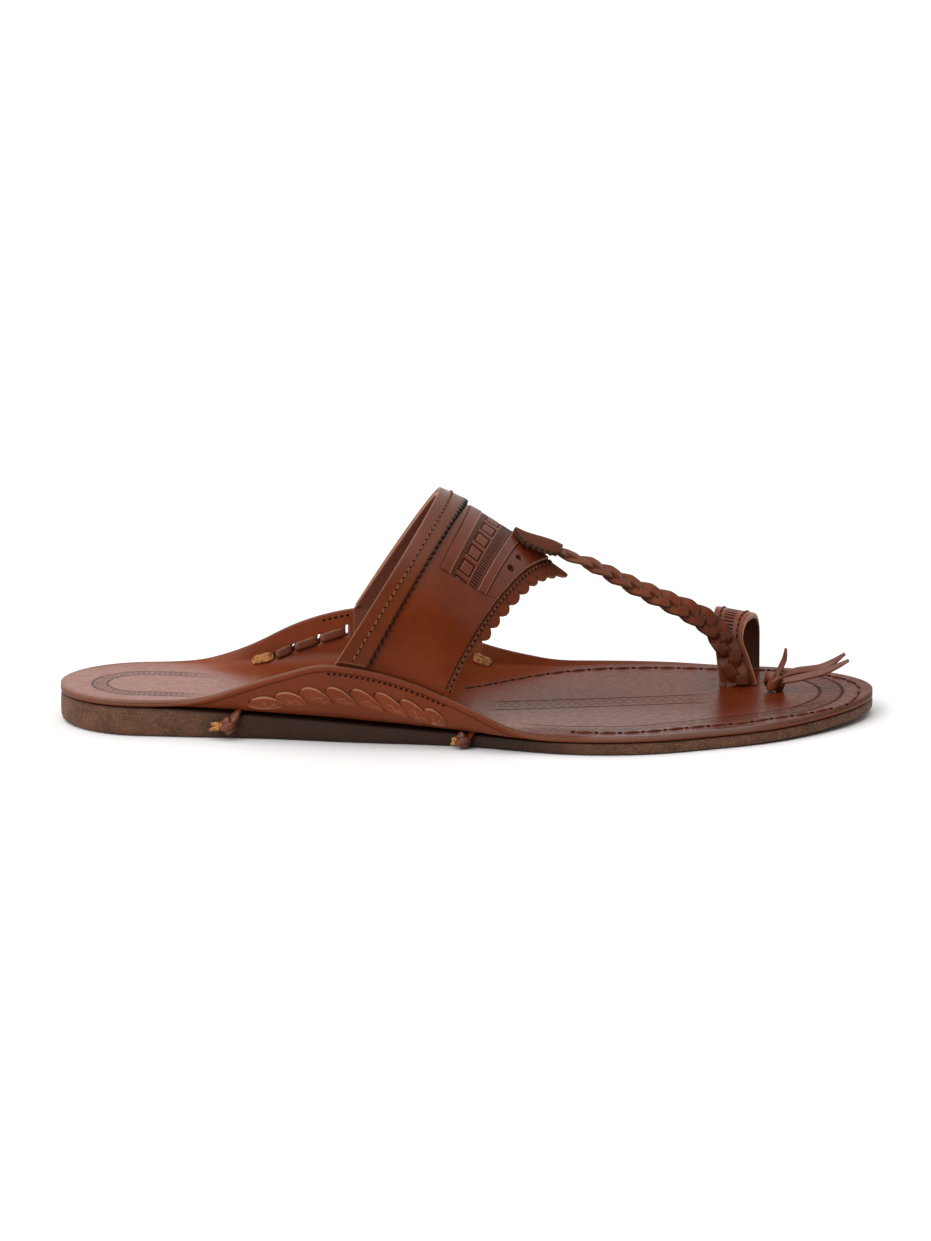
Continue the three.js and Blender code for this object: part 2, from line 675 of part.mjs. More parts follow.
function soleKnot({ side, x, drop, tail }) {
  const beside = (at, out) => planMiddle(at) + side * (soleHalf(at) + out);
  const y = beside(x, KNOT.out);
  const seam = outsoleTop(x);
  const z = seam - drop;
  const body = ball(vec(x, y, z), { x: KNOT.long, y: KNOT.radius, z: KNOT.tall });
  const neck = thong([
    { x, y, z, wide: KNOT.neck, thick: 1.4 },
    { x: x + 2, y: beside(x + 2, 2.2), z: seam - drop / 3, wide: KNOT.neck, thick: 1.4 },
    { x: x + 4, y: beside(x + 4, 1.6), z: seam - 0.2, wide: 0.9, thick: 1.2 },
  ]);
  const end = thong([
    { x, y, z, wide: KNOT.neck, thick: 1.4 },
    { x: x - tail, y: y + side * 0.2, z, wide: 1.2, thick: 1.8 },
  ]);
  return fused([body, neck, end]);
}

// Finishes
const FINISH = {
  leather: { color: 0x8a4a2e, roughness: 0.42, metalness: 0 },
  trim: { color: 0x6e3a26, roughness: 0.5, metalness: 0 },
  sole: { color: 0x4a2e22, roughness: 0.75, metalness: 0 },
  thong: { color: 0x94522f, roughness: 0.5, metalness: 0 },
};

const sandal = new THREE.Group();
sandal.name = 'kolhapuri_sandal';

function add(name, geometry, finish) {
  geometry.translate(-CENTRE_X, -CENTRE_Y, 0);
  const mesh = new THREE.Mesh(geometry, new THREE.MeshStandardMaterial(FINISH[finish]));
  mesh.name = name;
  sandal.add(mesh);
}

add('outsole', outsole(), 'sole');
add('insole', insole(), 'leather');
add('instep_strap', instepStrap(), 'leather');
add('collar_strip', collarStrip(), 'leather');
add('scalloped_trim', scallopedTrim(), 'trim');
add('braid_tab', braidTab(), 'trim');
add('braid', braid(), 'thong');
add('toe_loop', toeLoop(), 'leather');
add('tie_knot', tieKnot(), 'thong');
add('lacing_lateral', lacing(LATERAL), 'thong');
add('lacing_medial', lacing(MEDIAL), 'thong');
add('inner_thong_lateral', innerThong(LATERAL), 'thong');
add('inner_thong_medial', innerThong(MEDIAL), 'thong');
for (const knot of SOLE_KNOTS) add(knot.name, soleKnot(knot), 'thong');

export default sandal;
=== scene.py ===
"""Kolhapuri sandal, right shoe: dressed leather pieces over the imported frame.

Every form is worked out in millimetres with the toe along x, the inner side of the foot along y and z up, and is put
into the row frame in metres when its mesh is made.
"""
from __future__ import annotations

import logging
import math
from dataclasses import dataclass, field
from enum import Enum, IntEnum
from functools import reduce
from typing import Callable, Iterable

import bmesh
import bpy
import numpy as np
from mathutils import Matrix, Vector

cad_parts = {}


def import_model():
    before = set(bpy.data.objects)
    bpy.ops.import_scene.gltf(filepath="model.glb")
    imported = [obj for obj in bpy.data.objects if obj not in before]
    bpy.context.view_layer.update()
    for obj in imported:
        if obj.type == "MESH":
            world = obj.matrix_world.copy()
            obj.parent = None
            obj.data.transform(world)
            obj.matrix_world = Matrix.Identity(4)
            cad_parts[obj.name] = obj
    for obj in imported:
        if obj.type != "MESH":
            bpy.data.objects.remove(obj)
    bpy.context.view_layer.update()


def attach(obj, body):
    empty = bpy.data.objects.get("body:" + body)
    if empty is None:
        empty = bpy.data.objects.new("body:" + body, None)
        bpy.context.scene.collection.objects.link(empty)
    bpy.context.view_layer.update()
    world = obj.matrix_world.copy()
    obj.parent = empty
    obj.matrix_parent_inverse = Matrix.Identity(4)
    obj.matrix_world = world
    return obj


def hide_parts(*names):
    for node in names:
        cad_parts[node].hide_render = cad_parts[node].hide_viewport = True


log = logging.getLogger("sandal")

Array = np.ndarray
Colour = tuple[float, float, float]
Socket = bpy.types.NodeSocket
Marks = tuple[Socket, Socket, Socket]
Stamp = Callable[["Shader"], Marks]
Rows = tuple[tuple[float, ...], ...]

MM = 0.001
CENTRE_Y = 8.756
UP = np.array([0.0, 0.0, 1.0])
FINE_STEPS = 81
MERGE_M = 2e-6
SLIVER_M = 1e-7


class Side(IntEnum):
    """Outer and inner side of the right shoe."""

    LATERAL = -1
    MEDIAL = 1


class Slot(Enum):
    """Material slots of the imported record."""

    STRAP = "strap_leather"
    TRIM = "trim_leather"
    SOLE = "sole_leather"
    THONG = "thong_leather"


class Track:
    """Smooth curve through the rows of a table that never overshoots them.

    A cubic runs from row to row with slopes that are harmonic means of the grades beside each row. With a soft
    reach the curve is the weighted mean of five samples to both sides of the place asked for.
    """

    WEIGHTS = (1.0, 2.0, 3.0, 2.0, 1.0)

    def __init__(self, keys: tuple[float, ...], values: tuple[float, ...], soft: float = 0.0) -> None:
        """Keep the rows and work out a slope at each.

        Args:
            keys: places of the rows, rising.
            values: value of the curve at each row.
            soft: reach of the averaging to both sides.
        """
        self.keys = np.asarray(keys, float)
        self.values = np.asarray(values, float)
        self.soft = soft
        self.steps = np.diff(self.keys)
        grades = np.diff(self.values) / self.steps
        slopes = np.empty_like(self.keys)
        slopes[0], slopes[-1] = grades[0], grades[-1]
        before = 2 * self.steps[1:] + self.steps[:-1]
        after = self.steps[1:] + 2 * self.steps[:-1]
        same = grades[:-1] * grades[1:] > 0
        low = np.where(same, grades[:-1], 1.0)
        high = np.where(same, grades[1:], 1.0)
        slopes[1:-1] = np.where(same, (before + after) / (before / low + after / high), 0.0)
        self.slopes = slopes

    def _plain(self, x: Array) -> Array:
        """Cubic between the rows and a straight run beyond them.

        Args:
            x: places to read.

        Returns:
            Values of the curve without averaging.
        """
        i = np.clip(np.searchsorted(self.keys, x, side="left") - 1, 0, len(self.steps) - 1)
        h = self.steps[i]
        t = np.clip((x - self.keys[i]) / h, 0.0, 1.0)
        t2, t3 = t * t, t * t * t
        ends = (2 * t3 - 3 * t2 + 1) * self.values[i] + (3 * t2 - 2 * t3) * self.values[i + 1]
        curve = ends + h * ((t3 - 2 * t2 + t) * self.slopes[i] + (t3 - t2) * self.slopes[i + 1])
        under = np.minimum(x - self.keys[0], 0.0) * self.slopes[0]
        over = np.maximum(x - self.keys[-1], 0.0) * self.slopes[-1]
        return curve + under + over

    def __call__(self, x: Array | float) -> Array:
        """Value of the curve at one place or at an array of them."""
        x = np.asarray(x, float)
        if not self.soft:
            return self._plain(x)
        total = sum(self.WEIGHTS)
        return sum(w * self._plain(x + self.soft * (k - 2) / 2) for k, w in enumerate(self.WEIGHTS)) / total


def table(rows: Rows, column: int, soft: float = 0.0) -> Track:
    """Track of one column of a table whose first column is the key."""
    return Track(tuple(r[0] for r in rows), tuple(r[column] for r in rows), soft)


def blend(a: Array | float, b: Array | float, t: Array | float) -> Array:
    """Straight mix from a to b."""
    return np.asarray(a) + (np.asarray(b) - np.asarray(a)) * t


def smooth(low: float, high: float, x: Array) -> Array:
    """Soft step from 0 at low to 1 at high."""
    t = np.clip((x - low) / (high - low), 0.0, 1.0)
    return t * t * (3 - 2 * t)


def zone(x: Array, start: float, full: float, fading: float, end: float) -> Array:
    """1 from full to fading, falling softly to 0 at the start and at the end."""
    return smooth(start, full, x) * smooth(end, fading, x)


def unit(v: Array) -> Array:
    """Vectors of length one."""
    return v / np.maximum(np.linalg.norm(v, axis=-1, keepdims=True), 1e-9)


def arc_length(path: Array) -> Array:
    """Distance along a path at each of its points."""
    return np.concatenate([[0.0], np.cumsum(np.linalg.norm(np.diff(path, axis=0), axis=1))])


def mirrored(half: Array) -> Array:
    """Places from the far end over 0 to the near end, from a row that starts at 0."""
    return np.concatenate([-half[::-1], half[1:]])


def zigzag(x: Array) -> Array:
    """Triangle wave of period 1 between 0 and 1, 0 at whole numbers."""
    return 1 - np.abs(2 * (x - np.floor(x)) - 1)


def end_round(distance: Array, radius: float) -> Array:
    """Share of the full width left near a rounded end: a quarter circle over the radius."""
    reach = np.clip(1 - distance / radius, 0.0, 1.0)
    return np.sqrt(1 - reach * reach)


def rim_drop(distance: Array, radius: float) -> Array:
    """How far a rounded rim falls below the face: a quarter circle over the radius."""
    reach = np.clip(radius - distance, 0.0, radius)
    return radius - np.sqrt(radius * radius - reach * reach)


def rim_lines(length: float, count: int, radius: float) -> Array:
    """Places from 0 to 1 along a length, crowded at both ends where the rims are rounded.

    Args:
        length: real length in mm.
        count: number of even steps between the rims.
        radius: radius of the rims in mm.

    Returns:
        Rising places from 0 to 1.
    """
    near = np.array([0.0, 0.12, 0.4]) * radius / length
    return np.concatenate([near, np.linspace(radius, length - radius, count) / length, 1 - near[::-1]])


# station, middle line and half width of the sole before its ends are rounded
SOLE_PLAN = (
    (-144, 0.5, 30), (-114, 0.5, 30.5), (-98, 0.5, 31.5), (-71, 0.2, 31.8), (-45, -0.3, 34.5), (0, 2.5, 41),
    (28, 5, 51.5), (46, 7.4, 56.6), (64, 9.6, 57), (82, 12.4, 53), (98, 15.2, 48), (114, 18.2, 45.2),
    (130, 21.4, 41.6), (144, 22.4, 38.5),
)
# station, thickness of the outsole and lift of its underside
OUTSOLE = (
    (-144, 10.2, 0), (-110, 10.1, 0), (-71, 8.3, 0), (-45, 7.2, 0), (-20, 5.7, 0), (0, 4.7, 0), (30, 4.2, 0),
    (88, 4.2, 0), (112, 4.2, 0.3), (130, 4.2, 1.0), (144, 4.2, 1.8),
)
# station, flare of the rim, place of the bend and rise of the rim of each ear
EAR_LATERAL = (
    (-144, 0, -5, 0), (-110, 0, -5, 0.2), (-98, 0, -4, 1.3), (-89, 0.5, -3, 3.5), (-80, 2.4, -1.5, 7.2),
    (-70, 4.6, 0.6, 11.6), (-59.5, 5.8, 1.8, 15.6), (-46, 6.6, 2.4, 19.8), (-32, 6.2, 2.6, 18.9),
    (-15.7, 5.6, 2.8, 15.5), (-5, 5.4, 3.0, 11.8), (8, 5.2, 2.4, 6.8), (17.5, 3.6, 1.0, 2.6), (27, 1.8, -2, 0.4),
    (40, 0.3, -5, 0), (144, 0, -5, 0),
)
EAR_MEDIAL = (
    (-144, 0, -5, 0), (-112, 0, -5, 0.2), (-99.6, 0, -4, 1.1), (-86.6, 0.8, -2.6, 4.8), (-77, 2.6, -0.8, 8.8),
    (-65.6, 5.0, 1.2, 14.8), (-52, 6.6, 2.2, 19.5), (-38.6, 7.0, 2.6, 22), (-25, 6.2, 2.8, 20.6),
    (-10, 5.2, 3.0, 15.4), (4.3, 3.6, 1.6, 9.6), (20.4, 1.6, -1, 5), (32, 0.6, -4, 2.4), (50, 0, -5, 1.2),
    (75, 0, -5, 0.4), (92, 0, -5, 0), (144, 0, -5, 0),
)
# station and height of the ridge of the instep strap
RIDGE = ((-60, 106), (-11, 82.4), (0, 77.8), (6, 74.8), (17, 68), (28, 60.4), (36, 54.6), (50, 44))


@dataclass
class SoleForm:
    """Plan and thickness of the sole, and the two ears that the insole bends up at the waist."""

    length: float = 288.0
    heel_round: float = 30.0
    toe_round: float = 50.0
    seam: float = 0.3
    insole_thick: float = 2.4
    ear_root: float = 0.68
    bend_end: float = 0.35
    plan_soft: float = 12.0
    ear_soft: float = 6.0

    def __post_init__(self) -> None:
        """Turn the tables into curves."""
        self.middle = table(SOLE_PLAN, 1, self.plan_soft)
        self.plan_half = table(SOLE_PLAN, 2, self.plan_soft)
        self.thick = table(OUTSOLE, 1)
        self.lift = table(OUTSOLE, 2)
        rows = {Side.LATERAL: EAR_LATERAL, Side.MEDIAL: EAR_MEDIAL}
        self.flare = {s: table(r, 1, self.ear_soft) for s, r in rows.items()}
        self.corner = {s: table(r, 2, self.ear_soft) for s, r in rows.items()}
        self.rise = {s: table(r, 3, self.ear_soft) for s, r in rows.items()}

    def half(self, x: Array) -> Array:
        """Half width of the sole at a station, rounded at heel and toe."""
        heel = end_round(x + self.length / 2, self.heel_round)
        toe = end_round(self.length / 2 - x, self.toe_round)
        return self.plan_half(x) * heel * toe

    def station(self, t: Array) -> Array:
        """Station at a share of the length, crowded toward the rounded ends."""
        even = 0.08
        return self.length * (even * t + (1 - even) * (1 - np.cos(np.pi * t)) / 2 - 0.5)

    def outsole_top(self, x: Array) -> Array:
        """Height of the seam between outsole and insole."""
        return self.lift(x) + self.thick(x)

    def footbed(self, x: Array) -> Array:
        """Height of the flat upper face of the insole."""
        return self.outsole_top(x) + self.seam + self.insole_thick

    def ear_frame(self, side: Side, x: Array) -> dict[str, Array]:
        """Guide points of an ear as (y, z) on the footbed side.

        Args:
            side: which ear.
            x: stations.

        Returns:
            Root, corner, end of the bend and rim at every station.
        """
        half = self.half(x)
        full = np.clip(half / self.plan_half(x), 0, 1)
        low = self.footbed(x)
        middle = self.middle(x)

        def place(out: Array, up: Array | float) -> Array:
            """Point at a distance out from the middle line and up from the footbed."""
            return np.stack([middle + int(side) * out, low + up], -1)

        corner = place(half + self.corner[side](x) * full, 0.0)
        rim = place(half + self.flare[side](x) * full, self.rise[side](x) * full)
        return {"root": place(half * self.ear_root, 0.0), "corner": corner,
                "bend": blend(corner, rim, self.bend_end), "rim": rim}

    def ear(self, side: Side, x: Array | float, share: Array | float, depth: Array | float) -> Array:
        """Point of an ear: share 0 at the root of the bend, 1 at the rim, pushed outward by a depth.

        The lower half of the share runs along a quadratic curve from root to bend, the upper half straight to the
        rim.

        Args:
            side: which ear.
            x: stations.
            share: place from root to rim.
            depth: distance from the footbed face toward the outside.

        Returns:
            Points in mm.
        """
        x, share, depth = np.broadcast_arrays(np.asarray(x, float), share, depth)
        f = self.ear_frame(side, x)
        t = np.clip(share / 0.5, 0, 1)[..., None]
        low = (1 - t) ** 2 * f["root"] + 2 * t * (1 - t) * f["corner"] + t * t * f["bend"]
        low_run = (1 - t) * (f["corner"] - f["root"]) + t * (f["bend"] - f["corner"])
        s = np.clip((share - 0.5) / 0.5, 0, None)[..., None]
        bent = share[..., None] < 0.5
        point = np.where(bent, low, blend(f["bend"], f["rim"], s))
        run = np.where(bent, low_run, f["rim"] - f["corner"])
        size = np.linalg.norm(run, axis=-1)
        safe = np.maximum(size, 1e-9)
        out_y = np.where(size > 1e-6, int(side) * np.abs(run[..., 1]) / safe, 0.0)
        out_z = np.where(size > 1e-6, -np.abs(run[..., 0]) / safe, -1.0)
        return np.stack([x, point[..., 0] + out_y * depth, point[..., 1] + out_z * depth], -1)

    def ear_out(self, side: Side, x: Array | float, share: Array | float) -> Array:
        """Direction from the footbed face of an ear toward the outside."""
        return unit(self.ear(side, x, share, 1.0) - self.ear(side, x, share, 0.0))

    def on_bed(self, x: Array, y: Array) -> Array:
        """Points of the upper face above places in plan, on the flat bed or on the foot of an ear.

        Args:
            x: stations.
            y: distance across, inner side positive.

        Returns:
            Points in mm, their height read from a fine row of shares at every station.
        """
        share = np.linspace(0, 1, FINE_STEPS)
        side = np.where(y < self.middle(x), -1, 1)
        near = self.ear(Side.LATERAL, x[:, None], share[None, :], 0.0)
        far = self.ear(Side.MEDIAL, x[:, None], share[None, :], 0.0)
        row = np.where(side[:, None, None] < 0, near, far)
        out = np.abs(row[..., 1] - self.middle(x)[:, None])
        want = np.abs(y - self.middle(x))
        k = np.clip((out < want[:, None]).sum(1), 1, len(share) - 1)[:, None]
        a, b = np.take_along_axis(out, k - 1, 1)[:, 0], np.take_along_axis(out, k, 1)[:, 0]
        za = np.take_along_axis(row[..., 2], k - 1, 1)[:, 0]
        zb = np.take_along_axis(row[..., 2], k, 1)[:, 0]
        t = np.clip((want - a) / np.maximum(b - a, 1e-6), 0, 1)
        return np.stack([x, y, blend(za, zb, t)], -1)


@dataclass
class InstepForm:
    """Surface of the instep strap: along 0 at its rear edge to 1 at its front, around -1 to 1 from ear to ear."""

    sole: SoleForm
    rear_foot: float = -43.0
    front_foot: float = -2.8
    rear_top: float = -10.0
    front_top: float = 32.0
    bulge: float = 5.0
    tongue: float = 1.4
    tuck: float = 0.8
    ear_gap: float = 0.35
    ridge_y: float = 2.0
    run_along: float = 0.6

    def __post_init__(self) -> None:
        """Turn the ridge table into a curve."""
        self.ridge = table(RIDGE, 1)

    def _side(self, side: Side, along: Array, around: Array) -> Array:
        """Points of one half: an oval arch from the rim of the ear to the ridge, tucked down inside the ear.

        Args:
            side: which half.
            along: place from the rear edge to the front.
            around: place from the ridge to the ear.

        Returns:
            Points in mm.
        """
        reach = np.abs(around)
        foot_x = blend(self.rear_foot, self.front_foot, along)
        foot = self.sole.ear(side, foot_x, np.ones_like(foot_x), -self.ear_gap)
        angle = np.pi / 2 * (1 - np.clip(reach, 0, 1))
        top_x = blend(self.rear_top, self.front_top, along)
        rise, out = np.sin(angle), np.cos(angle)
        lean = blend(rise, (angle / (np.pi / 2)) ** self.tongue, np.clip(along, 0, 1.3))
        x = blend(foot_x, top_x, lean)
        y = self.ridge_y + (foot[..., 1] - self.ridge_y) * out + int(side) * self.bulge * rise * out
        z = blend(foot[..., 2], self.ridge(top_x), rise)
        frame = self.sole.ear_frame(side, foot_x)
        down = np.clip(reach - 1, 0, None) * self.tuck * (1 - self.sole.bend_end)
        drop = (frame["corner"] - frame["rim"]) * down[..., None]
        return np.stack([x, y + drop[..., 0], z + drop[..., 1]], -1)

    def point(self, along: Array, around: Array) -> Array:
        """Point of the outer face."""
        along, around = np.broadcast_arrays(np.asarray(along, float), np.asarray(around, float))
        near = self._side(Side.LATERAL, along, around)
        return np.where(around[..., None] < 0, near, self._side(Side.MEDIAL, along, around))

    def normal(self, along: Array, around: Array) -> Array:
        """Direction away from the foot: cross product of the two runs of the surface."""
        step = 0.004
        along, around = np.broadcast_arrays(np.asarray(along, float), np.asarray(around, float))
        inner = np.sign(around) * np.minimum(np.abs(around), 2 - step)
        run = self.point(along + step, inner) - self.point(along - step, inner)
        turn = self.point(along, inner + step) - self.point(along, inner - step)
        return unit(np.cross(run, turn))

    def off(self, along: Array, around: Array, height: Array | float) -> Array:
        """Point lifted off the outer face by a height."""
        return self.point(along, around) + self.normal(along, around) * np.asarray(height)[..., None]

    def run(self, around: Array) -> Array:
        """Distance in mm from the ridge down the middle of the strap."""
        row = np.linspace(0, 1, FINE_STEPS)
        points = self.point(np.full_like(row, self.run_along), -row)
        return np.interp(np.abs(around), row, arc_length(points))


class Shader:
    """Builds one material; its methods give output sockets, and finish gives the material."""

    def __init__(self, name: str) -> None:
        """Start from a new material's own nodes and Object coordinates."""
        self.made = bpy.data.materials.new(name)
        self.made.use_nodes = True
        self.tree = self.made.node_tree
        self.where = self.add("ShaderNodeTexCoord").outputs["Object"]

    def add(self, kind: str, **settings: object) -> bpy.types.Node:
        """New node with its properties set.

        Args:
            kind: Blender's name of the node type.
            settings: properties of the node.

        Returns:
            The node.
        """
        node = self.tree.nodes.new(kind)
        for name, value in settings.items():
            setattr(node, name, value)
        return node

    def feed(self, socket: Socket, value: Socket | float | Colour) -> None:
        """Link a socket to an input, or set the input's own value."""
        if isinstance(value, bpy.types.NodeSocket):
            self.tree.links.new(value, socket)
        elif isinstance(value, tuple):
            socket.default_value = (*value, 1.0)
        else:
            socket.default_value = value

    def math(self, operation: str, *values: Socket | float) -> Socket:
        """One step of arithmetic."""
        node = self.add("ShaderNodeMath", operation=operation)
        for socket, value in zip(node.inputs, values):
            self.feed(socket, value)
        return node.outputs[0]

    def step(self, value: Socket, low: float, high: float, start: float = 0.0, end: float = 1.0) -> Socket:
        """Soft step of a value from start at low to end at high."""
        node = self.add("ShaderNodeMapRange", interpolation_type="SMOOTHSTEP")
        for socket, given in zip(node.inputs, (value, low, high, start, end)):
            self.feed(socket, given)
        return node.outputs[0]

    def field(self, name: str) -> Socket:
        """Number kept at every vertex of the mesh."""
        return self.add("ShaderNodeAttribute", attribute_name=name).outputs["Fac"]

    def noise(self, scale: float, detail: float = 3.0, rough: float = 0.55, along: float = 1.0) -> Socket:
        """Cloudy noise on Object coordinates, with features per metre, drawn out along x where along is small."""
        node = self.add("ShaderNodeTexNoise")
        drawn = self.add("ShaderNodeVectorMath", operation="MULTIPLY")
        self.feed(drawn.inputs[0], self.where)
        drawn.inputs[1].default_value = (along, 1.0, 1.0)
        self.feed(node.inputs["Vector"], drawn.outputs[0])
        for name, value in (("Scale", scale), ("Detail", detail), ("Roughness", rough)):
            node.inputs[name].default_value = value
        return node.outputs["Fac"]

    def cells(self, scale: float) -> Socket:
        """Distance to the nearest of scattered points, for pores and pebbles."""
        node = self.add("ShaderNodeTexVoronoi", feature="SMOOTH_F1")
        self.feed(node.inputs["Vector"], self.where)
        node.inputs["Scale"].default_value = scale
        return node.outputs["Distance"]

    def mix(self, share: Socket | float, a: Socket | Colour, b: Socket | Colour) -> Socket:
        """Colour between a and b."""
        node = self.add("ShaderNodeMix", data_type="RGBA")
        for socket, value in ((node.inputs[0], share), (node.inputs[6], a), (node.inputs[7], b)):
            self.feed(socket, value)
        return node.outputs[2]

    def line(self, distance: Socket, centre: float, half: float, soft: float = 0.12) -> Socket:
        """1 within half of the centre of a distance field and 0 beyond."""
        away = self.math("ABSOLUTE", self.math("SUBTRACT", distance, centre))
        return self.step(away, half + soft, half - soft * 0.2)

    def ticks(self, run: Socket, pitch: float, half: float, soft: float = 0.1) -> Socket:
        """Short bars across a run, one to every pitch."""
        return self.step(self.math("PINGPONG", run, pitch / 2), half + soft, half - soft * 0.2)

    def most(self, *values: Socket) -> Socket:
        """Largest of several masks."""
        result = values[0]
        for value in values[1:]:
            result = self.math("MAXIMUM", result, value)
        return result

    def product(self, *values: Socket | float) -> Socket:
        """Product of several masks."""
        result = values[0]
        for value in values[1:]:
            result = self.math("MULTIPLY", result, value)
        return result

    def finish(self, colour: Socket, height: Socket, inputs: dict[str, Socket | float]) -> bpy.types.Material:
        """Feed the surface its colour, its bump and its other inputs.

        Args:
            colour: base colour.
            height: height of the bump in mm.
            inputs: other inputs of the surface by name.

        Returns:
            The material.
        """
        body, bump = self.tree.nodes["Principled BSDF"], self.add("ShaderNodeBump")
        for name, value in (("Strength", 1.0), ("Distance", MM), ("Height", height)):
            self.feed(bump.inputs[name], value)
        for name, value in {"Base Color": colour, "Normal": bump.outputs["Normal"], **inputs}.items():
            self.feed(body.inputs[name], value)
        return self.made


@dataclass(frozen=True)
class Leather:
    """Finish of one hide: dyed face, darker clouds, pale cut edge, inked edge and painted shade, flesh side and fine
    grain.
    """

    name: str
    face: Colour = (0.160, 0.031, 0.0062)
    deep: Colour = (0.098, 0.0165, 0.0038)
    cut: Colour = (0.34, 0.165, 0.095)
    ink: Colour = (0.010, 0.0045, 0.003)
    flesh: Colour = (0.25, 0.09, 0.05)
    mark: Colour = (0.017, 0.0048, 0.0022)
    gloss: float = 0.34
    shine: float = 0.45
    coat: float = 0.04
    coat_gloss: float = 0.22
    ior: float = 1.46
    pore: float = 0.55
    relief: float = 0.045
    cut_rough: float = 0.62
    streak: float = 0.0
    hazed: bool = False
    worn: Colour = (0.26, 0.055, 0.016)

    def material(self, stamp: Stamp | None = None) -> bpy.types.Material:
        """Make the material.

        Clouds of two sizes mix the face and the deep colour, pores and fine creases make the bump, and the fields edge,
        ink and under of the mesh bring in the cut edge, the near black of inked edges and of painted shade, and the
        flesh side. On a hazed hide the field haze scales the sheen and the field worn brings in a paler colour, partly
        rubbed wear and partly painted highlight.

        Args:
            stamp: builds the dark lines, the pale lines and the height in mm of what is stamped into the face; the pale
                lines on the strap's panel are painted highlights.

        Returns:
            The material.
        """
        shader = Shader(self.name)
        clouds = shader.step(shader.noise(38.0, 4.0), 0.36, 0.66)
        specks = shader.step(shader.noise(420.0, 3.0, 0.6), 0.3, 0.75)
        colour = shader.mix(shader.product(clouds, 0.75), self.face, self.deep)
        colour = shader.mix(shader.product(specks, 0.28), colour, self.deep)
        pores = shader.step(shader.cells(1000.0 / self.pore), 0.15, 0.6)
        creases = shader.noise(1000.0 / (self.pore * 3.5), 4.0, 0.6)
        grain = shader.math("ADD", shader.product(pores, 0.35), shader.product(creases, 0.65))
        height = shader.product(grain, self.relief)
        shine: Socket | float = self.shine
        if self.streak:
            height = shader.math("ADD", height, shader.product(shader.noise(900.0, 2.0, 0.5, 0.07), self.streak))
        if self.hazed:
            # paler colour: rubbed wear with painted highlight
            colour = shader.mix(shader.field("worn"), colour, self.worn)
        if stamp is not None:
            dark, pale, raised = stamp(shader)
            colour = shader.mix(shader.product(dark, 0.9), colour, self.mark)
            # pale lines in the cut colour; on the strap's panel they are painted highlights along raised edges
            colour = shader.mix(shader.product(pale, 0.6), colour, self.cut)
            height = shader.math("ADD", height, raised)
            shine = shader.step(dark, 0.0, 1.0, self.shine, self.shine * 0.12)
        if self.hazed:
            shine = shader.product(shader.field("haze"), shine)
        fibre = shader.step(shader.noise(900.0, 4.0, 0.7), 0.25, 0.8)
        under = shader.field("under")
        colour = shader.mix(under, colour, shader.mix(shader.product(fibre, 0.55), self.flesh, self.deep))
        edge = shader.field("edge")
        colour = shader.mix(shader.product(edge, shader.step(fibre, 0.0, 1.0, 0.95, 0.55)), colour, self.cut)
        # near black of inked edges and of painted shade: in the gaps of the pinked teeth, the notches of the border,
        # between plait strands and along the leaves
        colour = shader.mix(shader.field("ink"), colour, self.ink)
        rough = shader.math("ADD", shader.step(specks, 0.0, 1.0, self.gloss, self.gloss + 0.09),
                            shader.product(shader.most(edge, under), self.cut_rough - self.gloss))
        return shader.finish(colour, height, {
            "Roughness": rough, "IOR": self.ior, "Specular IOR Level": shine, "Coat Weight": self.coat,
            "Coat Roughness": self.coat_gloss,
        })


@dataclass(frozen=True)
class SoleEdge:
    """Finish of the outsole: packed dark hide, paler with tan specks toward heel and toe where rubbed, darkened at the
    waist and along the seam as painted shade.
    """

    name: str = "outsole_packed_leather"
    face: Colour = (0.115, 0.047, 0.025)
    deep: Colour = (0.024, 0.0098, 0.0054)
    speck: Colour = (0.30, 0.17, 0.09)
    rough: float = 0.62
    shine: float = 0.2
    relief: float = 0.16

    def material(self) -> bpy.types.Material:
        """Make the material: clouds of two browns, tan specks where it is rubbed, painted shade at the waist and a dark
        line of painted shade at the seam.

        Returns:
            The material.
        """
        shader = Shader(self.name)
        clouds = shader.step(shader.noise(160.0, 5.0, 0.7), 0.38, 0.66)
        fine = shader.step(shader.noise(2100.0, 2.0, 0.6), 0.50, 0.70)
        patches = shader.step(shader.noise(240.0, 3.0, 0.6), 0.35, 0.65, 0.35, 1.0)
        rubbed = shader.field("rubbed")
        specks = shader.product(fine, patches, rubbed)
        colour = shader.mix(shader.product(clouds, 0.55), self.face, self.deep)
        # painted shade: the deep colour where the field is low, at the waist under the overhanging ears
        colour = shader.mix(shader.step(rubbed, 0.0, 1.0, 0.92, 0.0), colour, self.deep)
        colour = shader.mix(shader.product(specks, 0.55), colour, self.speck)
        # painted shade: dark line at the top of the wall, under the rim of the insole
        colour = shader.mix(shader.field("seam"), colour, self.deep)
        relief = shader.product(shader.noise(1300.0, 3.0, 0.7), self.relief)
        return shader.finish(colour, relief, {"Roughness": self.rough, "Specular IOR Level": self.shine})


@dataclass(frozen=True)
class Thread:
    """Finish of a waxed thread: twisted plies that darken between them."""

    name: str
    face: Colour
    deep: Colour
    rough: float = 0.6
    scale: float = 2600.0
    relief: float = 0.08
    shine: float = 0.2

    def material(self) -> bpy.types.Material:
        """Make the material: fine noise mixes the two colours and lifts the fibres.

        Returns:
            The material.
        """
        shader = Shader(self.name)
        fibre = shader.noise(self.scale, 4.0, 0.65)
        colour = shader.mix(shader.step(fibre, 0.36, 0.64), self.face, self.deep)
        inputs = {"Roughness": self.rough, "Specular IOR Level": self.shine}
        return shader.finish(colour, shader.product(fibre, self.relief), inputs)


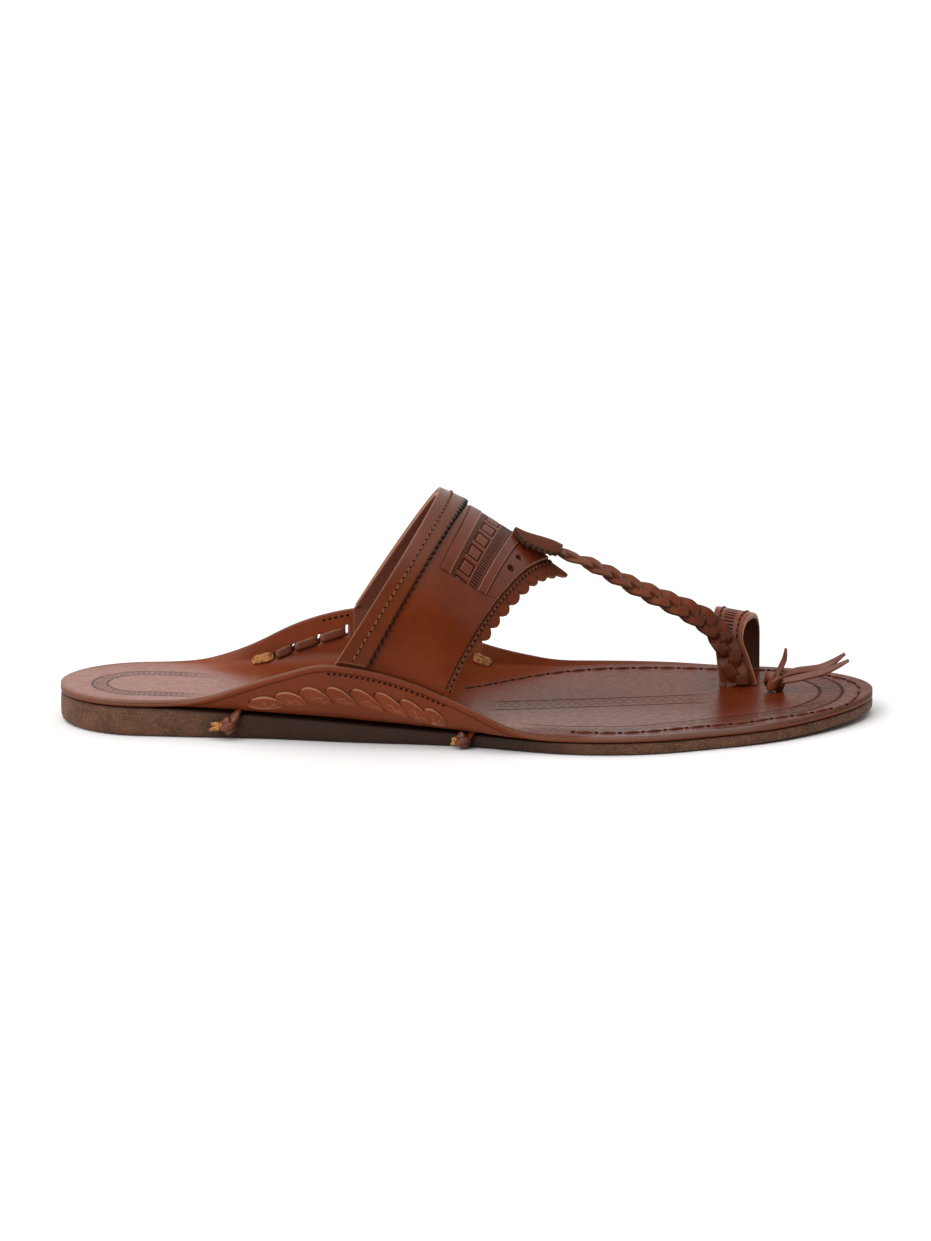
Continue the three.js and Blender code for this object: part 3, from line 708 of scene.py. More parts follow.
@dataclass
class Form:
    """Points, four sided faces and vertex fields of a mesh in the making."""

    points: Array
    faces: Array
    fields: dict[str, Array] = field(default_factory=dict)

    def __add__(self, other: "Form") -> "Form":
        """Both forms in one mesh; a field that one of them lacks is 0 there."""
        names = {*self.fields, *other.fields}
        parts = {n: np.concatenate([f.fields.get(n, np.zeros(len(f.points))) for f in (self, other)]) for n in names}
        return Form(np.concatenate([self.points, other.points]),
                    np.concatenate([self.faces, other.faces + len(self.points)]), parts)

    def piece(self, name: str, material: bpy.types.Material, slot: Slot, *nodes: str) -> bpy.types.Object:
        """Make the object: merge its doubles, turn its faces out, and hang it in the frame.

        Args:
            name: name of the piece.
            material: its finish.
            slot: material slot of the record; not used.
            nodes: CAD nodes that it stands for.

        Returns:
            The object, at the origin with its place in its mesh.
        """
        mesh = bpy.data.meshes.new(name)
        mesh.vertices.add(len(self.points))
        placed = (self.points - np.array([0.0, CENTRE_Y, 0.0])) * MM
        mesh.vertices.foreach_set("co", placed.astype(np.float32).ravel())
        mesh.loops.add(self.faces.size)
        mesh.loops.foreach_set("vertex_index", self.faces.astype(np.int32).ravel())
        mesh.polygons.add(len(self.faces))
        mesh.polygons.foreach_set("loop_start", np.arange(0, self.faces.size, 4, dtype=np.int32))
        for label, values in self.fields.items():
            layer = mesh.attributes.new(label, "FLOAT", "POINT")
            layer.data.foreach_set("value", values.astype(np.float32))
        mesh.update(calc_edges=True)
        shell = bmesh.new()
        shell.from_mesh(mesh)
        bmesh.ops.remove_doubles(shell, verts=shell.verts, dist=MERGE_M)
        bmesh.ops.dissolve_degenerate(shell, edges=shell.edges, dist=SLIVER_M)
        bmesh.ops.recalc_face_normals(shell, faces=shell.faces)
        shell.to_mesh(mesh)
        shell.free()
        mesh.shade_smooth()
        mesh.materials.append(material)
        made = bpy.data.objects.new(name, mesh)
        bpy.context.scene.collection.objects.link(made)
        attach(made, "root")
        if nodes:
            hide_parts(*nodes)
        log.info("%s: %d faces", name, len(mesh.polygons))
        return made


def merged(forms: Iterable[Form]) -> Form:
    """All forms in one mesh."""
    return reduce(Form.__add__, forms)


def grid_faces(index: Array) -> Array:
    """Faces between the rows and columns of a grid of point numbers."""
    return np.stack([index[:-1, :-1], index[1:, :-1], index[1:, 1:], index[:-1, 1:]], -1)


def slab(top: Array, bottom: Array, fields: dict[str, Array], keep: Array | None = None) -> Form:
    """Closed sheet between an upper and a lower grid, with walls round its border and round every opening.

    Args:
        top: grid of points of the face.
        bottom: grid of points of the flesh side, of the same size.
        fields: grids of numbers for the face; the flesh side gets 0, apart from edge, ink and under.
        keep: which cells of the grid are there.

    Returns:
        The form, with the field edge 1 along its walls and under 1 on the flesh side.
    """
    n, m = top.shape[:2]
    keep = np.ones((n - 1, m - 1), bool) if keep is None else keep
    index = np.arange(n * m).reshape(n, m)
    quad = grid_faces(index)[keep]
    ringed = np.pad(keep, 1)
    i, j = np.nonzero(ringed[1:, 1:-1] != ringed[:-1, 1:-1])
    across = np.stack([index[i, j], index[i, j + 1]], -1)
    i, j = np.nonzero(ringed[1:-1, 1:] != ringed[1:-1, :-1])
    lengthwise = np.stack([index[i, j], index[i + 1, j]], -1)
    border = np.concatenate([across, lengthwise])
    wall = np.concatenate([border, border[:, ::-1] + n * m], 1)
    edge = np.zeros(n * m)
    edge[border.ravel()] = 1.0
    rim = np.maximum(edge, fields.get("edge", np.zeros((n, m))).ravel())
    both = {name: np.concatenate([grid.ravel(), np.zeros(n * m)]) for name, grid in fields.items()}
    both["edge"] = np.concatenate([rim, edge])
    both["under"] = np.concatenate([np.zeros(n * m), np.ones(n * m)])
    if "ink" in fields:
        both["ink"] = np.tile(fields["ink"].ravel(), 2)
    points = np.concatenate([top.reshape(-1, 3), bottom.reshape(-1, 3)])
    return Form(points, np.concatenate([quad, quad[:, ::-1] + n * m, wall]), both)


def tube(centre: Array, across: Array, wide: Array, thick: Array, sides: int = 12, square: float = 2.4) -> Form:
    """Flattened round carried along a path: a superellipse of half sizes wide and thick, drawn together at both ends.

    Args:
        centre: points of the path.
        across: direction of the width at every point.
        wide: half width at every point.
        thick: half thickness at every point.
        sides: corners of the section.
        square: how boxy the section is, 2 for an ellipse.

    Returns:
        The closed form, with the fields place, from 0 to 1 along the path, and rim, 1 at the sides of the section.
    """
    run = unit(np.gradient(centre, axis=0))
    across = unit(across - run * (across * run).sum(-1, keepdims=True))
    out = np.cross(run, across)
    angle = np.arange(sides) * 2 * np.pi / sides
    a = np.sign(np.cos(angle)) * np.abs(np.cos(angle)) ** (2 / square)
    b = np.sign(np.sin(angle)) * np.abs(np.sin(angle)) ** (2 / square)
    wide, thick = np.broadcast_arrays(np.asarray(wide, float), np.asarray(thick, float))
    wide, thick = np.broadcast_to(wide, len(centre)).copy(), np.broadcast_to(thick, len(centre)).copy()
    ring = (centre[:, None] + across[:, None] * (wide[:, None] * a)[..., None]
            + out[:, None] * (thick[:, None] * b)[..., None])
    ring = np.concatenate([np.repeat(centre[:1, None], sides, 1), ring, np.repeat(centre[-1:, None], sides, 1)])
    place = np.concatenate([[0.0], np.linspace(0, 1, len(centre)), [1.0]])
    fields = {"place": np.repeat(place, sides), "rim": np.tile(np.abs(a) ** 4, len(ring))}
    return Form(ring.reshape(-1, 3), ring_faces(len(ring), sides), fields)


def ring_faces(rings: int, sides: int) -> Array:
    """Faces between rings of points that close on themselves."""
    index = np.arange(rings * sides).reshape(rings, sides)
    turned = np.roll(index, -1, 1)
    return np.stack([index[:-1], index[1:], turned[1:], turned[:-1]], -1).reshape(-1, 4)


def spine(rows: Rows, count: int) -> Array:
    """Smooth samples of a short table: every column is a track over the row number.

    Args:
        rows: the table.
        count: number of samples.

    Returns:
        Array of count rows with the table's columns.
    """
    keys = tuple(float(k) for k in range(len(rows)))
    at = np.linspace(0, len(rows) - 1, count)
    return np.stack([Track(keys, tuple(r[c] for r in rows))(at) for c in range(len(rows[0]))], -1)


def even(path: Array, pitch: float, phase: float, *others: Array) -> tuple[Array, ...]:
    """Points at even distances along a path.

    Args:
        path: points of the path.
        pitch: distance between the points, stretched a little to fill the path.
        phase: place of the first point in pitches.
        others: arrays of the same length that are read at the same places.

    Returns:
        The points and the other arrays.
    """
    arc = arc_length(path)
    count = max(int(arc[-1] / pitch), 1)
    at = (np.arange(count) + phase) * arc[-1] / count

    def read(values: Array) -> Array:
        """One array read at the even places."""
        return np.stack([np.interp(at, arc, values[:, c]) for c in range(values.shape[1])], -1)

    return (read(path), *(read(o) for o in others))


def stitches(path: Array, out: Array, pitch: float, long: float, wide: float, high: float, lean: float = 0.0,
             phase: float = 0.5) -> Form:
    """Row of thread stitches: each is a round bar, bowed so that its ends sink into the leather.

    Args:
        path: points of the seam on the face.
        out: direction away from the face at every point.
        pitch: distance from stitch to stitch.
        long: length of a stitch.
        wide: thickness of the thread.
        high: how far the middle of a stitch stands up.
        lean: turn of every stitch out of the line of the seam, in degrees.
        phase: place of the first stitch in pitches; 0 puts the dashes of painted hole shade where the stitches end.

    Returns:
        The form.
    """
    centre, normal = even(path, pitch, phase, out)
    normal = unit(normal)
    run = unit(np.gradient(centre, axis=0)) if len(centre) > 1 else unit(path[-1:] - path[:1])
    side = unit(np.cross(normal, run))
    turn = math.radians(lean)
    run, side = run * math.cos(turn) + side * math.sin(turn), side * math.cos(turn) - run * math.sin(turn)
    s = np.linspace(-1, 1, 7)
    angle = np.arange(6) * np.pi / 3
    radius = wide / 2 * np.sqrt(np.clip(1 - s ** 4, 0, 1))
    lift = high * (1 - s * s) - wide * 0.3
    ring = (centre[:, None, None] + run[:, None, None] * (s * long / 2)[None, :, None, None]
            + normal[:, None, None] * (lift[:, None] + radius[:, None] * np.sin(angle))[None, :, :, None]
            + side[:, None, None] * (radius[:, None] * np.cos(angle))[None, :, :, None])
    one = ring_faces(len(s), len(angle))
    faces = one[None] + (np.arange(len(centre)) * len(s) * len(angle))[:, None, None]
    return Form(ring.reshape(-1, 3), faces.reshape(-1, 4))


def knot(centre: Array, size: tuple[float, float, float], wide: float, thick: float, tilt: float) -> Form:
    """Overhand knot of flat thong: a trefoil curve squeezed into an oval, with a core that fills its eye.

    Args:
        centre: middle of the knot.
        size: half sizes of the oval along x, y and z.
        wide: half width of the thong.
        thick: half thickness of the thong.
        tilt: turn about the y axis in degrees.

    Returns:
        The form.
    """
    t = np.linspace(0, 2 * np.pi, 97)
    path = np.stack([np.sin(t) + 2 * np.sin(2 * t), np.cos(t) - 2 * np.cos(2 * t), -np.sin(3 * t)], -1)
    reach = np.array(size) - np.array([thick, thick, thick * 0.6])
    path = path / np.array([3.0, 3.0, 1.0]) * reach * np.array([1.0, 1.0, 0.62])
    c, s = math.cos(math.radians(tilt)), math.sin(math.radians(tilt))
    turn = np.array([[c, 0, s], [0, 1, 0], [-s, 0, c]])
    band = tube(path @ turn.T + centre, (UP + path * 0.02) @ turn.T, wide, thick, 12, 2.8)
    fill = np.linspace(-1, 1, 13)
    core = np.stack([fill * 0, fill * 0, fill], -1) * reach[2] * 0.7
    bulk = np.sqrt(np.clip(1 - fill ** 2, 0.0, 1)) * (reach[0] + reach[1]) / 2 * 0.72
    across = np.tile(np.array([1.0, 0.0, 0.0]) @ turn.T, (len(fill), 1))
    return band + tube(core @ turn.T + centre, across, bulk, bulk, 14, 2.0)


@dataclass(frozen=True)
class StrapStamp:
    """Stamped panel of the strap: sizes in mm across its strips and down its run."""

    pitch: float = 7.6
    start: float = 5.8
    square_strip: float = 23.2
    square_half: float = 2.5
    square_glint: float = 2.05
    # strip of the middle and half width of each raised band
    bands: Rows = ((32.8, 1.75), (15.7, 2.2))
    # strip and half length of each row of ticks, and their pitch and half width
    tick_rows: Rows = ((19.3, 0.85, 1.1, 0.29), (28.4, 1.6, 1.15, 0.31))
    # strip and half width of each dark line, and of each bright line, a painted highlight along a raised edge
    rails: Rows = ((30.7, 0.2), (34.9, 0.22), (13.3, 0.2))
    glints: Rows = ((18.0, 0.22), (31.15, 0.16), (34.4, 0.12))
    band_rise: float = 0.32
    groove_deep: float = 0.3
    hole_deep: float = 0.9

    def relief(self, strip: Array, run: Array, panel: Array, hole: Array) -> Array:
        """Height of the stamped panel: two raised bands, grooves round the squares and three punched holes.

        Args:
            strip: distance across the strips.
            run: distance down the strap.
            panel: distance inside the lower edge of the panel.
            hole: distance outside the rim of the nearest hole.

        Returns:
            Height above the plain face in mm.
        """
        bands = [smooth(half + 0.35, half, np.abs(strip - middle)) for middle, half in self.bands]
        row = self.pitch / 2 * zigzag((run + self.start) / self.pitch)
        square = np.maximum(np.abs(strip - self.square_strip), row)
        groove = smooth(0.6, 0.15, np.abs(square - self.square_half)) * zone(strip, 19.6, 20.2, 26.4, 27.0)
        raised = (self.band_rise * np.maximum(*bands) - self.groove_deep * groove) * smooth(-0.3, 0.3, panel)
        return raised - self.hole_deep * smooth(0.2, -0.3, hole)

    def draw(self, shader: Shader) -> Marks:
        """Squares, ticks and lines of the panel, and the punched holes.

        Args:
            shader: nodes of the strap's material.

        Returns:
            Dark lines, pale lines of painted highlight, and height.
        """
        strip, run, panel, hole = (shader.field(name) for name in ("strip", "run", "panel", "hole"))
        inside = shader.step(panel, -0.1, 0.3)
        box_run = shader.math("PINGPONG", shader.math("ADD", run, self.start), self.pitch / 2)
        across = shader.math("ABSOLUTE", shader.math("SUBTRACT", strip, self.square_strip))
        square = shader.math("MAXIMUM", across, box_run)
        boxes = shader.line(square, self.square_half, 0.3)
        ticks = [shader.product(shader.line(strip, at, long, 0.1), shader.ticks(run, pitch, half))
                 for at, long, pitch, half in self.tick_rows]
        rails = shader.most(*(shader.line(strip, *rail) for rail in self.rails))
        foot = shader.product(shader.line(panel, 0.0, 0.25), shader.step(strip, 12.6, 13.4))
        # painted highlights along the raised edges of the bands and inside the squares
        bright = shader.most(*(shader.line(strip, *glint) for glint in self.glints),
                             shader.product(shader.line(square, self.square_glint, 0.12), 0.6))
        pale = shader.product(bright, inside, 0.75)
        dark = shader.product(shader.most(boxes, *ticks, shader.product(rails, 0.75)), inside)
        dark = shader.most(dark, shader.product(foot, 0.45), shader.step(hole, 0.15, -0.1))
        return dark, pale, shader.math("SUBTRACT", shader.product(pale, 0.15), shader.product(dark, 0.3))


@dataclass(frozen=True)
class BedStamp:
    """Stamped lines of the insole: an open oval at the heel, arcs at the toe and two chain bands between them."""

    heel: tuple[float, float] = (-114.0, -3.0)
    heel_ring: float = 15.7
    heel_lines: tuple[float, float] = (13.0, 18.4)
    toe: tuple[float, float] = (94.3, 20.0)
    toe_ring: float = 35.0
    toe_lines: tuple[float, float] = (31.0, 39.0)
    band_line: float = 6.1
    near_line: float = 4.4
    rim_line: float = 1.9
    lozenge: float = 1.65
    # station and place across of the middle of each band
    band_rows: Rows = ((-20.0, -13.0), (22.4, -3.4), (39.2, 0.4), (58.9, 4.5), (79.3, 9.4), (144.0, 25.0))
    near_rows: Rows = (
        (0.0, -33.0), (25.4, -37.4), (40.8, -39.2), (51.8, -38.9), (61.9, -36.7), (73.3, -31.5), (84.3, -26.0),
        (95.3, -20.6), (108.0, -13.0), (124.0, -2.5), (144.0, 12.0),
    )

    def fields(self, top: Array) -> dict[str, Array]:
        """Distances in mm that the lines are drawn from.

        Args:
            top: grid of the upper face.

        Returns:
            Grids of the distance from the spine of the heel oval and from the middle of the toe arcs, of the
            distance across the two bands, of the runs along them, and of where each of them shows.
        """
        x, y = top[..., 0], top[..., 1]
        past, aside = x - self.heel[0], y - self.heel[1]
        back = np.minimum(past, 0.0)
        bow = np.arctan2(aside, -back) * self.heel_ring
        leg = np.sign(aside) * (self.heel_ring * np.pi / 2 + past)
        toe_x, toe_y = x - self.toe[0], y - self.toe[1]
        return {
            "heel": np.hypot(back, aside), "heel_run": np.where(back < 0, bow, leg),
            "heel_on": smooth(-84.0, -104.0, x), "toe": np.hypot(toe_x, toe_y),
            "toe_run": np.arctan2(toe_y, toe_x) * self.toe_ring, "toe_on": smooth(112.0, 117.0, x),
            "band": y - table(self.band_rows, 1)(x), "near": y - table(self.near_rows, 1)(x), "bed_run": x,
            "band_on": zone(x, 6.0, 14.0, 78.0, 90.0), "near_on": zone(x, 20.0, 27.0, 122.0, 132.0),
        }

    def draw(self, shader: Shader) -> Marks:
        """Rings and scales at the heel, rays between arcs at the toe, and chains of lozenges between lines.

        Args:
            shader: nodes of the insole's material.

        Returns:
            Dark lines, pale lines and height.
        """
        heel, toe, band, near = (shader.field(name) for name in ("heel", "toe", "band", "near"))
        scales = shader.product(shader.line(heel, self.heel_ring, 2.3, 0.3),
                                shader.ticks(shader.field("heel_run"), 1.9, 0.42), shader.ticks(heel, 1.5, 0.45), 0.8)
        pebbles = shader.step(shader.cells(1250.0), 0.25, 0.6)
        fill = shader.product(shader.line(heel, self.heel_ring, 2.5, 0.4), pebbles, 0.5)
        oval = shader.most(*(shader.line(heel, at, 0.3) for at in self.heel_lines), scales, fill)
        rays = shader.product(shader.line(toe, self.toe_ring, 3.2, 0.3),
                              shader.ticks(shader.field("toe_run"), 2.4, 0.4), 0.62)
        arcs = shader.most(*(shader.line(toe, at, 0.6) for at in self.toe_lines), rays)
        wave = shader.product(shader.math("PINGPONG", shader.field("bed_run"), self.lozenge), 2.5)

        def chain(across: Socket, reach: Socket, half: float, soft: float) -> Socket:
            """Two zigzag lines that cross along the middle of a band."""
            return shader.line(shader.math("SUBTRACT", shader.math("ABSOLUTE", across), reach), 0.0, half, soft)

        middle = shader.most(*(shader.line(band, at, 0.55) for at in (self.band_line, -self.band_line)),
                             shader.product(chain(band, wave, 0.8, 0.3), 0.42))
        side = shader.most(shader.line(near, self.near_line, 0.5),
                           shader.product(chain(near, shader.product(wave, 0.5), 0.5, 0.2), 0.6))
        rim = shader.product(shader.line(shader.field("away"), self.rim_line, 0.2), 0.8)
        shown = (("heel_on", oval), ("toe_on", arcs), ("band_on", middle), ("near_on", side))
        dark = shader.most(*(shader.product(lines, shader.field(name)) for name, lines in shown), rim)
        return dark, shader.product(dark, 0.0), shader.product(dark, -0.2)


@dataclass(frozen=True)
class LoopStamp:
    """Ticks between the two stitch rows of the toe loop."""

    middle: float = 6.0
    half: float = 1.8
    pitch: float = 1.5
    tick_half: float = 0.33

    def draw(self, shader: Shader) -> Marks:
        """Bars across the middle of the band.

        Args:
            shader: nodes of the loop's material.

        Returns:
            Dark lines, pale lines and height.
        """
        width, run, ticked = (shader.field(name) for name in ("width", "run", "ticked"))
        bars = shader.product(shader.line(width, self.middle, self.half, 0.15),
                              shader.ticks(run, self.pitch, self.tick_half), ticked)
        return bars, shader.product(bars, 0.0), shader.product(bars, -0.3)


class Palette:
    """All finishes of the sandal."""

    def __init__(self) -> None:
        """Make one material for each kind of hide and thread."""
        self.strap = Leather("strap_leather_stamped", face=(0.140, 0.0245, 0.0052), deep=(0.090, 0.0145, 0.0034),
                             flesh=(0.15, 0.055, 0.036), mark=(0.032, 0.008, 0.003), gloss=0.30, shine=0.42,
                             hazed=True).material(StrapStamp().draw)
        self.collar = Leather("collar_leather", face=(0.126, 0.0255, 0.0058), deep=(0.088, 0.0155, 0.0036), gloss=0.32,
                              shine=0.44, hazed=True).material()
        self.trim = Leather("trim_leather", face=(0.120, 0.027, 0.009), gloss=0.52, shine=0.13, coat=0.0).material()
        self.bed = Leather("insole_leather_stamped", face=(0.110, 0.0178, 0.0040), deep=(0.076, 0.0120, 0.0030),
                           cut=(0.145, 0.063, 0.037), flesh=(0.24, 0.052, 0.018), mark=(0.036, 0.0073, 0.0022),
                           gloss=0.27, shine=0.6, coat=0.0, relief=0.010, streak=0.014,
                           hazed=True).material(BedStamp().draw)
        # pale cut colour of the loop: cut edge with painted highlight on the front rim
        self.loop = Leather("loop_leather_stamped", face=(0.225, 0.046, 0.0100), flesh=(0.075, 0.026, 0.014),
                            cut=(0.48, 0.27, 0.17), gloss=0.36, shine=0.36).material(LoopStamp().draw)
        self.thong = Leather("thong_leather", face=(0.142, 0.031, 0.0080), gloss=0.40, pore=0.45).material()
        self.plait = Leather("plait_leather", face=(0.180, 0.041, 0.0105), gloss=0.36, shine=0.3, coat=0.0,
                             pore=0.45, cut=(0.23, 0.075, 0.026)).material()
        self.lace = Leather("lace_leather", face=(0.185, 0.036, 0.0095), deep=(0.130, 0.0235, 0.0062), gloss=0.30,
                            shine=0.15, coat=0.0, cut=(0.46, 0.235, 0.125)).material()
        self.sole = SoleEdge().material()
        self.tan_thread = Thread("tan_thread", (0.185, 0.070, 0.030), (0.090, 0.032, 0.013)).material()
        self.foot_thread = Thread("foot_thread", (0.130, 0.040, 0.019), (0.055, 0.016, 0.008)).material()
        self.brown_thread = Thread("brown_thread", (0.135, 0.042, 0.015), (0.055, 0.016, 0.006)).material()
        # near black: painted shade in the pricked stitch holes, and the dark thread of the ear stitch
        self.hole = Thread("dark_thread_and_hole_shade", (0.022, 0.0065, 0.003), (0.009, 0.0033, 0.0018), 0.85, shine=0.03).material()
        self.suede = Thread("thong_suede_end", (0.54, 0.25, 0.088), (0.21, 0.075, 0.024), 0.85, 900.0, 0.5).material()


@dataclass(frozen=True)
class Sewing:
    """Sizes of a seam in mm, its lean in degrees, and length, width and height of the dark dashes of painted shade at
    its pricked holes.
    """

    pitch: float
    long: float
    wide: float
    high: float
    lean: float
    hole: tuple[float, float, float] = (0.0, 0.0, 0.0)

    def thread(self, path: Array, out: Array) -> Form:
        """Stitches along a path."""
        return stitches(path, out, self.pitch, self.long, self.wide, self.high, self.lean)

    def holes(self, path: Array, out: Array) -> Form:
        """Dark dashes of painted shade at the pricked holes where the stitches end."""
        return stitches(path, out, self.pitch, *self.hole, phase=0.0)


@dataclass
class Piece:
    """A sub-assembly and the finishes that it is dressed in."""

    palette: Palette

    def build(self) -> None:
        """Make the meshes and dress them."""
        raise NotImplementedError

    def sew(self, sewing: Sewing, names: tuple[str, str], thread: bpy.types.Material, slot: Slot,
            *rows: tuple[Array, Array]) -> None:
        """Lay stitches along rows, and put a dark dash of painted shade at the pricked hole where each of them ends.

        Args:
            sewing: sizes of the seam.
            names: names of the thread and of the painted shade of its holes.
            thread: finish of the thread.
            slot: material slot of both.
            rows: points of each row on the face, and the direction away from the face at every point.
        """
        merged(sewing.thread(*row) for row in rows).piece(names[0], thread, slot)
        merged(sewing.holes(*row) for row in rows).piece(names[1], self.palette.hole, slot)


@dataclass
class Outsole(Piece):
    """Leather sole under the whole foot, a wedge at the heel."""

    sole: SoleForm
    stations: int = 260
    # inset from the outline and share of the height, from the underside up
    wall: Rows = (
        (9.0, 0.0), (1.6, 0.0), (0.9, 0.02), (0.36, 0.09), (0.08, 0.2), (0.0, 0.42), (0.02, 0.7), (0.1, 0.88),
        (0.35, 0.97), (0.8, 1.0), (9.0, 1.0),
    )

    def build(self) -> None:
        """Carry a rounded wall profile round both sides at every station."""
        x = self.sole.station(np.linspace(0, 1, self.stations))[:, None]
        inset, up = np.array(self.wall).T
        half = np.maximum(self.sole.half(x) - inset, 0.0)
        z = blend(self.sole.lift(x), self.sole.outsole_top(x), up)
        pulled = x * (1 - np.minimum(inset, 3.0) / (self.sole.length / 2))
        near = np.stack([pulled + 0 * z, self.sole.middle(x) - half, z], -1)
        far = np.stack([pulled + 0 * z, self.sole.middle(x) + half, z], -1)
        ring = np.concatenate([near, far[:, ::-1]], 1)
        count = ring.shape[1]
        # field high toward heel and toe, rubbed paler with specks there, and low at the waist, which the material
        # darkens as painted shade under the ears
        fore = 1.45 * smooth(15, 80, x) + 0.6 * smooth(100, 140, x)
        rubbed = np.repeat(np.maximum(smooth(-62, -112, x), fore), count, 1)
        # seam: dark line of painted shade at the top of the wall, under the rim of the insole
        seam = np.tile(np.concatenate([up, up[::-1]]), (self.stations, 1))
        fields = {"rubbed": (0.08 + 0.92 * rubbed).ravel(), "seam": (smooth(0.93, 1.0, seam) * 0.8).ravel()}
        Form(ring.reshape(-1, 3), ring_faces(self.stations, count), fields).piece(
            "outsole_edge", self.palette.sole, Slot.SOLE, "outsole")


@dataclass
class Insole(Piece):
    """Top leather of the sole with the two ears, its stamps and the running stitch round the forefoot."""

    sole: SoleForm
    stations: int = 300
    rim: float = 0.7
    outer_haze: float = 0.25
    outer_pale_share: float = 0.2
    flesh_share: float = 0.15
    lined_heel: float = -100.0
    slot_half: float = 0.5
    slot_tall: float = 0.07
    # station and share of each slot that the thong passes through
    slots: Rows = ((-71.0, 0.485), (-64.3, 0.575), (-55.3, 0.645), (-45.4, 0.715))
    # station and distance of the running stitch from the edge on the outer and the inner side
    inset: Rows = (
        (-8, 6.5, 27), (3, 6.5, 23), (10, 6.5, 18.6), (17, 6.5, 14.6), (24, 6.5, 11.6), (32, 6.3, 10), (40, 5.8, 9.4),
        (52, 4.9, 9), (60, 5.1, 8.9), (67, 6.0, 8.8), (77, 7.1, 8.4), (84, 7.2, 8), (93, 6.7, 7.4), (100, 6.2, 6.8),
        (108, 6.9, 6.2), (116, 5.0, 5.6), (123, 1.9, 5.3), (129, -2.6, 5.1), (134, -11, 4.9), (139, -16, 4.7),
        (144, -16, 4.6),
    )
    seam_starts: tuple[float, float] = (40.0, -3.0)
    seam_end: float = 139.2
    seam_round: float = 46.0
    sewing: Sewing = Sewing(8.1, 7.6, 1.0, 0.46, 3.0, (2.2, 1.1, 0.24))
    stamp: BedStamp = BedStamp()

    def build(self) -> None:
        """Make the sheet and its stitches."""
        self.sheet()
        self.seam()

    def lines(self) -> tuple[Array, Array]:
        """Places across: kind of zone and share within it.

        Returns:
            Zone, -1 outer ear, 0 bed, 1 inner ear; and share, from rim to root, across the bed, and root to rim.
        """
        ear = np.concatenate([[1.0, 0.994, 0.982, 0.964], np.linspace(0.94, 0.0, 40)])
        bed = np.linspace(0, 1, 62)[1:-1]
        part = np.concatenate([np.full(len(ear), -1), np.zeros(len(bed)), np.full(len(ear), 1)])
        return part, np.concatenate([ear, bed, ear[::-1]])

    def face(self, x: Array, depth: Array | float) -> Array:
        """Grid of points at a depth under the upper face.

        Args:
            x: stations.
            depth: depth at every point of the grid.

        Returns:
            Points of the outer ear, the flat bed and the inner ear.
        """
        part, share = self.lines()
        depth = np.broadcast_to(np.asarray(depth, float), (len(x), len(share)))
        near = self.sole.ear(Side.LATERAL, x[:, None], share, depth)
        far = self.sole.ear(Side.MEDIAL, x[:, None], share, depth)
        y = self.sole.middle(x)[:, None] + (2 * share - 1) * (self.sole.half(x) * self.sole.ear_root)[:, None]
        flat = np.stack([x[:, None] + 0 * y, y, self.sole.footbed(x)[:, None] - depth], -1)
        return np.where(part[:, None] < 0, near, np.where(part[:, None] > 0, far, flat))

    def cells(self, x: Array) -> Array:
        """Which cells of the sheet are there: all but the slots of the thong in the inner ear.

        Args:
            x: stations.

        Returns:
            Grid of truth values.
        """
        part, share = self.lines()
        middle_x, middle_share = (x[1:] + x[:-1]) / 2, (share[1:] + share[:-1]) / 2
        inner = np.minimum(part[1:], part[:-1]) > 0
        keep = np.ones((len(x) - 1, len(share) - 1), bool)
        for at, tall in self.slots:
            long = (np.abs(middle_x - at) < self.slot_half)[:, None]
            keep &= ~(long & (np.abs(middle_share - tall) < self.slot_tall) & inner)
        return keep

    def sheen_and_rub_fields(self, top: Array, from_near: Array) -> dict[str, Array]:
        """Sheen and paler colour of the upper face.

        The sheen is strong on the heel and on the ears, weak on the forefoot, weaker still at the tail of the outer
        ear, and brightest on the lip in front of it. The colour is paler round the ball and at the heel, rubbed wear
        with painted highlight, and on the ears, painted highlight.

        Args:
            top: grid of the upper face.
            from_near: distance over the face from the outer rim.

        Returns:
            Grids of the fields haze and worn.
        """
        x, across = top[:, :1, 0], top[..., 1]
        lift = top[..., 2] - self.sole.footbed(x)
        fore = blend(0.08, 0.32, smooth(8.0, -38.0, across))
        rear = 0.85 - 0.45 * smooth(13.0, 24.0, across)
        haze = np.maximum(blend(rear, fore, smooth(-82.0, -20.0, x)), 0.6 * smooth(1.5, 6.0, lift))
        tail = smooth(12.0, 7.0, from_near) * zone(x, 0.0, 10.0, 40.0, 58.0)
        lip = smooth(2.4, 0.8, from_near) * zone(x, 40.0, 50.0, 98.0, 112.0)
        # paler colour: rubbed wear with painted highlight round the ball and at the heel, painted highlight up the ears
        ball = 0.5 * np.exp(-((x - 6.0) / 22.0) ** 2) + 0.1 * zone(x, 10.0, 40.0, 74.0, 92.0)
        heel = 0.4 * smooth(14.0, -10.0, x) + 0.35 * smooth(-70.0, -96.0, x)
        worn = np.maximum(ball * smooth(-44.0, -34.0, across), heel)
        return {"haze": haze * (1 - 0.75 * tail) + 1.1 * lip, "worn": np.maximum(worn, 0.6 * smooth(2.0, 9.0, lift))}

